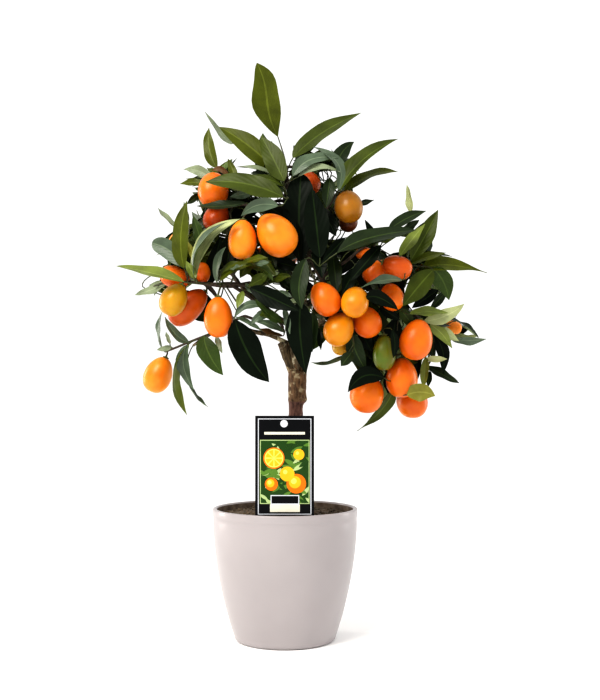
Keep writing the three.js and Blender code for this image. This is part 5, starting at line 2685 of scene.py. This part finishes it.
@dataclass(frozen=True)
class Lamp:
    """A soft box: its place in millimetres, its width and height in metres, its watts and its colour."""

    name: str
    place: Point
    size: Pair
    power: float
    colour: str

    def build(self, aim: Vector) -> None:
        """Builds the lamp.

        Args:
            aim: the point that it faces, in metres.
        """
        data = bpy.data.lights.new(self.name, "AREA")
        data.shape = "RECTANGLE"
        data.size, data.size_y = self.size
        data.energy = self.power
        data.color = linear(self.colour)[:3]
        lamp = bpy.data.objects.new(self.name, data)
        bpy.context.scene.collection.objects.link(lamp)
        lamp.location = Vector(self.place) * MM
        lamp.rotation_euler = (aim - lamp.location).to_track_quat("-Z", "Y").to_euler()
        lamp.visible_camera = False


@dataclass(frozen=True)
class Studio:
    """A pale floor under soft white light, and the camera before the tree's front."""

    floor_size: float = 60000.0
    floor_depth: float = 20.0
    paint: StudioFloor = StudioFloor()
    surround: float = 0.79
    contrast: str = "High Contrast"
    lit: Point = (0.0, 0.0, 320.0)  # what the lamps face
    lamps: tuple[Lamp, ...] = (
        Lamp("key", (-900, -1250, 1650), (1.0, 1.0), 30.0, "#fffaf2"),
        Lamp("strip_left", (-1400, 640, 330), (0.25, 1.1), 9.0, "#fff4ee"),
        Lamp("strip_right", (1450, 560, 360), (0.2, 1.0), 5.0, "#fffaf6"),
    )

    def build(self) -> None:
        """Builds the floor and the lights."""
        self.light()
        half = self.floor_size / 2
        square = ((-half, -half), (half, -half), (half, half), (-half, half))
        floor = MeshDraft()
        floor.loft(np.array([[(x, y, z) for x, y in square] for z in (-self.floor_depth, 0.0)]))
        material = self.paint.material()
        floor.to_object("studio_floor", [material])

    def light(self) -> None:
        """Sets the white surround, the lamps and the tone curve."""
        scene = bpy.context.scene
        world = bpy.data.worlds.new("studio")
        scene.world = world
        world.use_nodes = True
        world.node_tree.nodes.clear()
        glow = add_node(world.node_tree, "Background",
                        {"Color": linear("#ffffff"), "Strength": self.surround})
        add_node(world.node_tree, "OutputWorld", None, {"Surface": glow.outputs["Background"]})
        for lamp in self.lamps:
            lamp.build(Vector(self.lit) * MM)
        scene.view_settings.view_transform = "Standard"
        scene.view_settings.look = self.contrast

    def camera(self) -> None:
        """Sets the camera of the front view."""
        data = bpy.data.cameras.new("front")
        data.lens = FRONT.lens
        data.sensor_width = FRONT.sensor
        camera = bpy.data.objects.new("front", data)
        bpy.context.scene.collection.objects.link(camera)
        station = Vector(FRONT.station)
        camera.location = station * MM
        camera.rotation_euler = (Vector(FRONT.aim) - station).to_track_quat("-Z", "Y").to_euler()
        bpy.context.scene.camera = camera


def main() -> None:
    """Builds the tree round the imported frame."""
    logging.basicConfig(level=logging.INFO, format="%(name)s: %(message)s")
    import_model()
    studio = Studio()
    studio.camera()
    studio.build()
    Pot().build()
    RootBall().build()
    PlantLabel().build()
    Trunk().build()
    Crown().build()


if __name__ == "__main__":
    main()
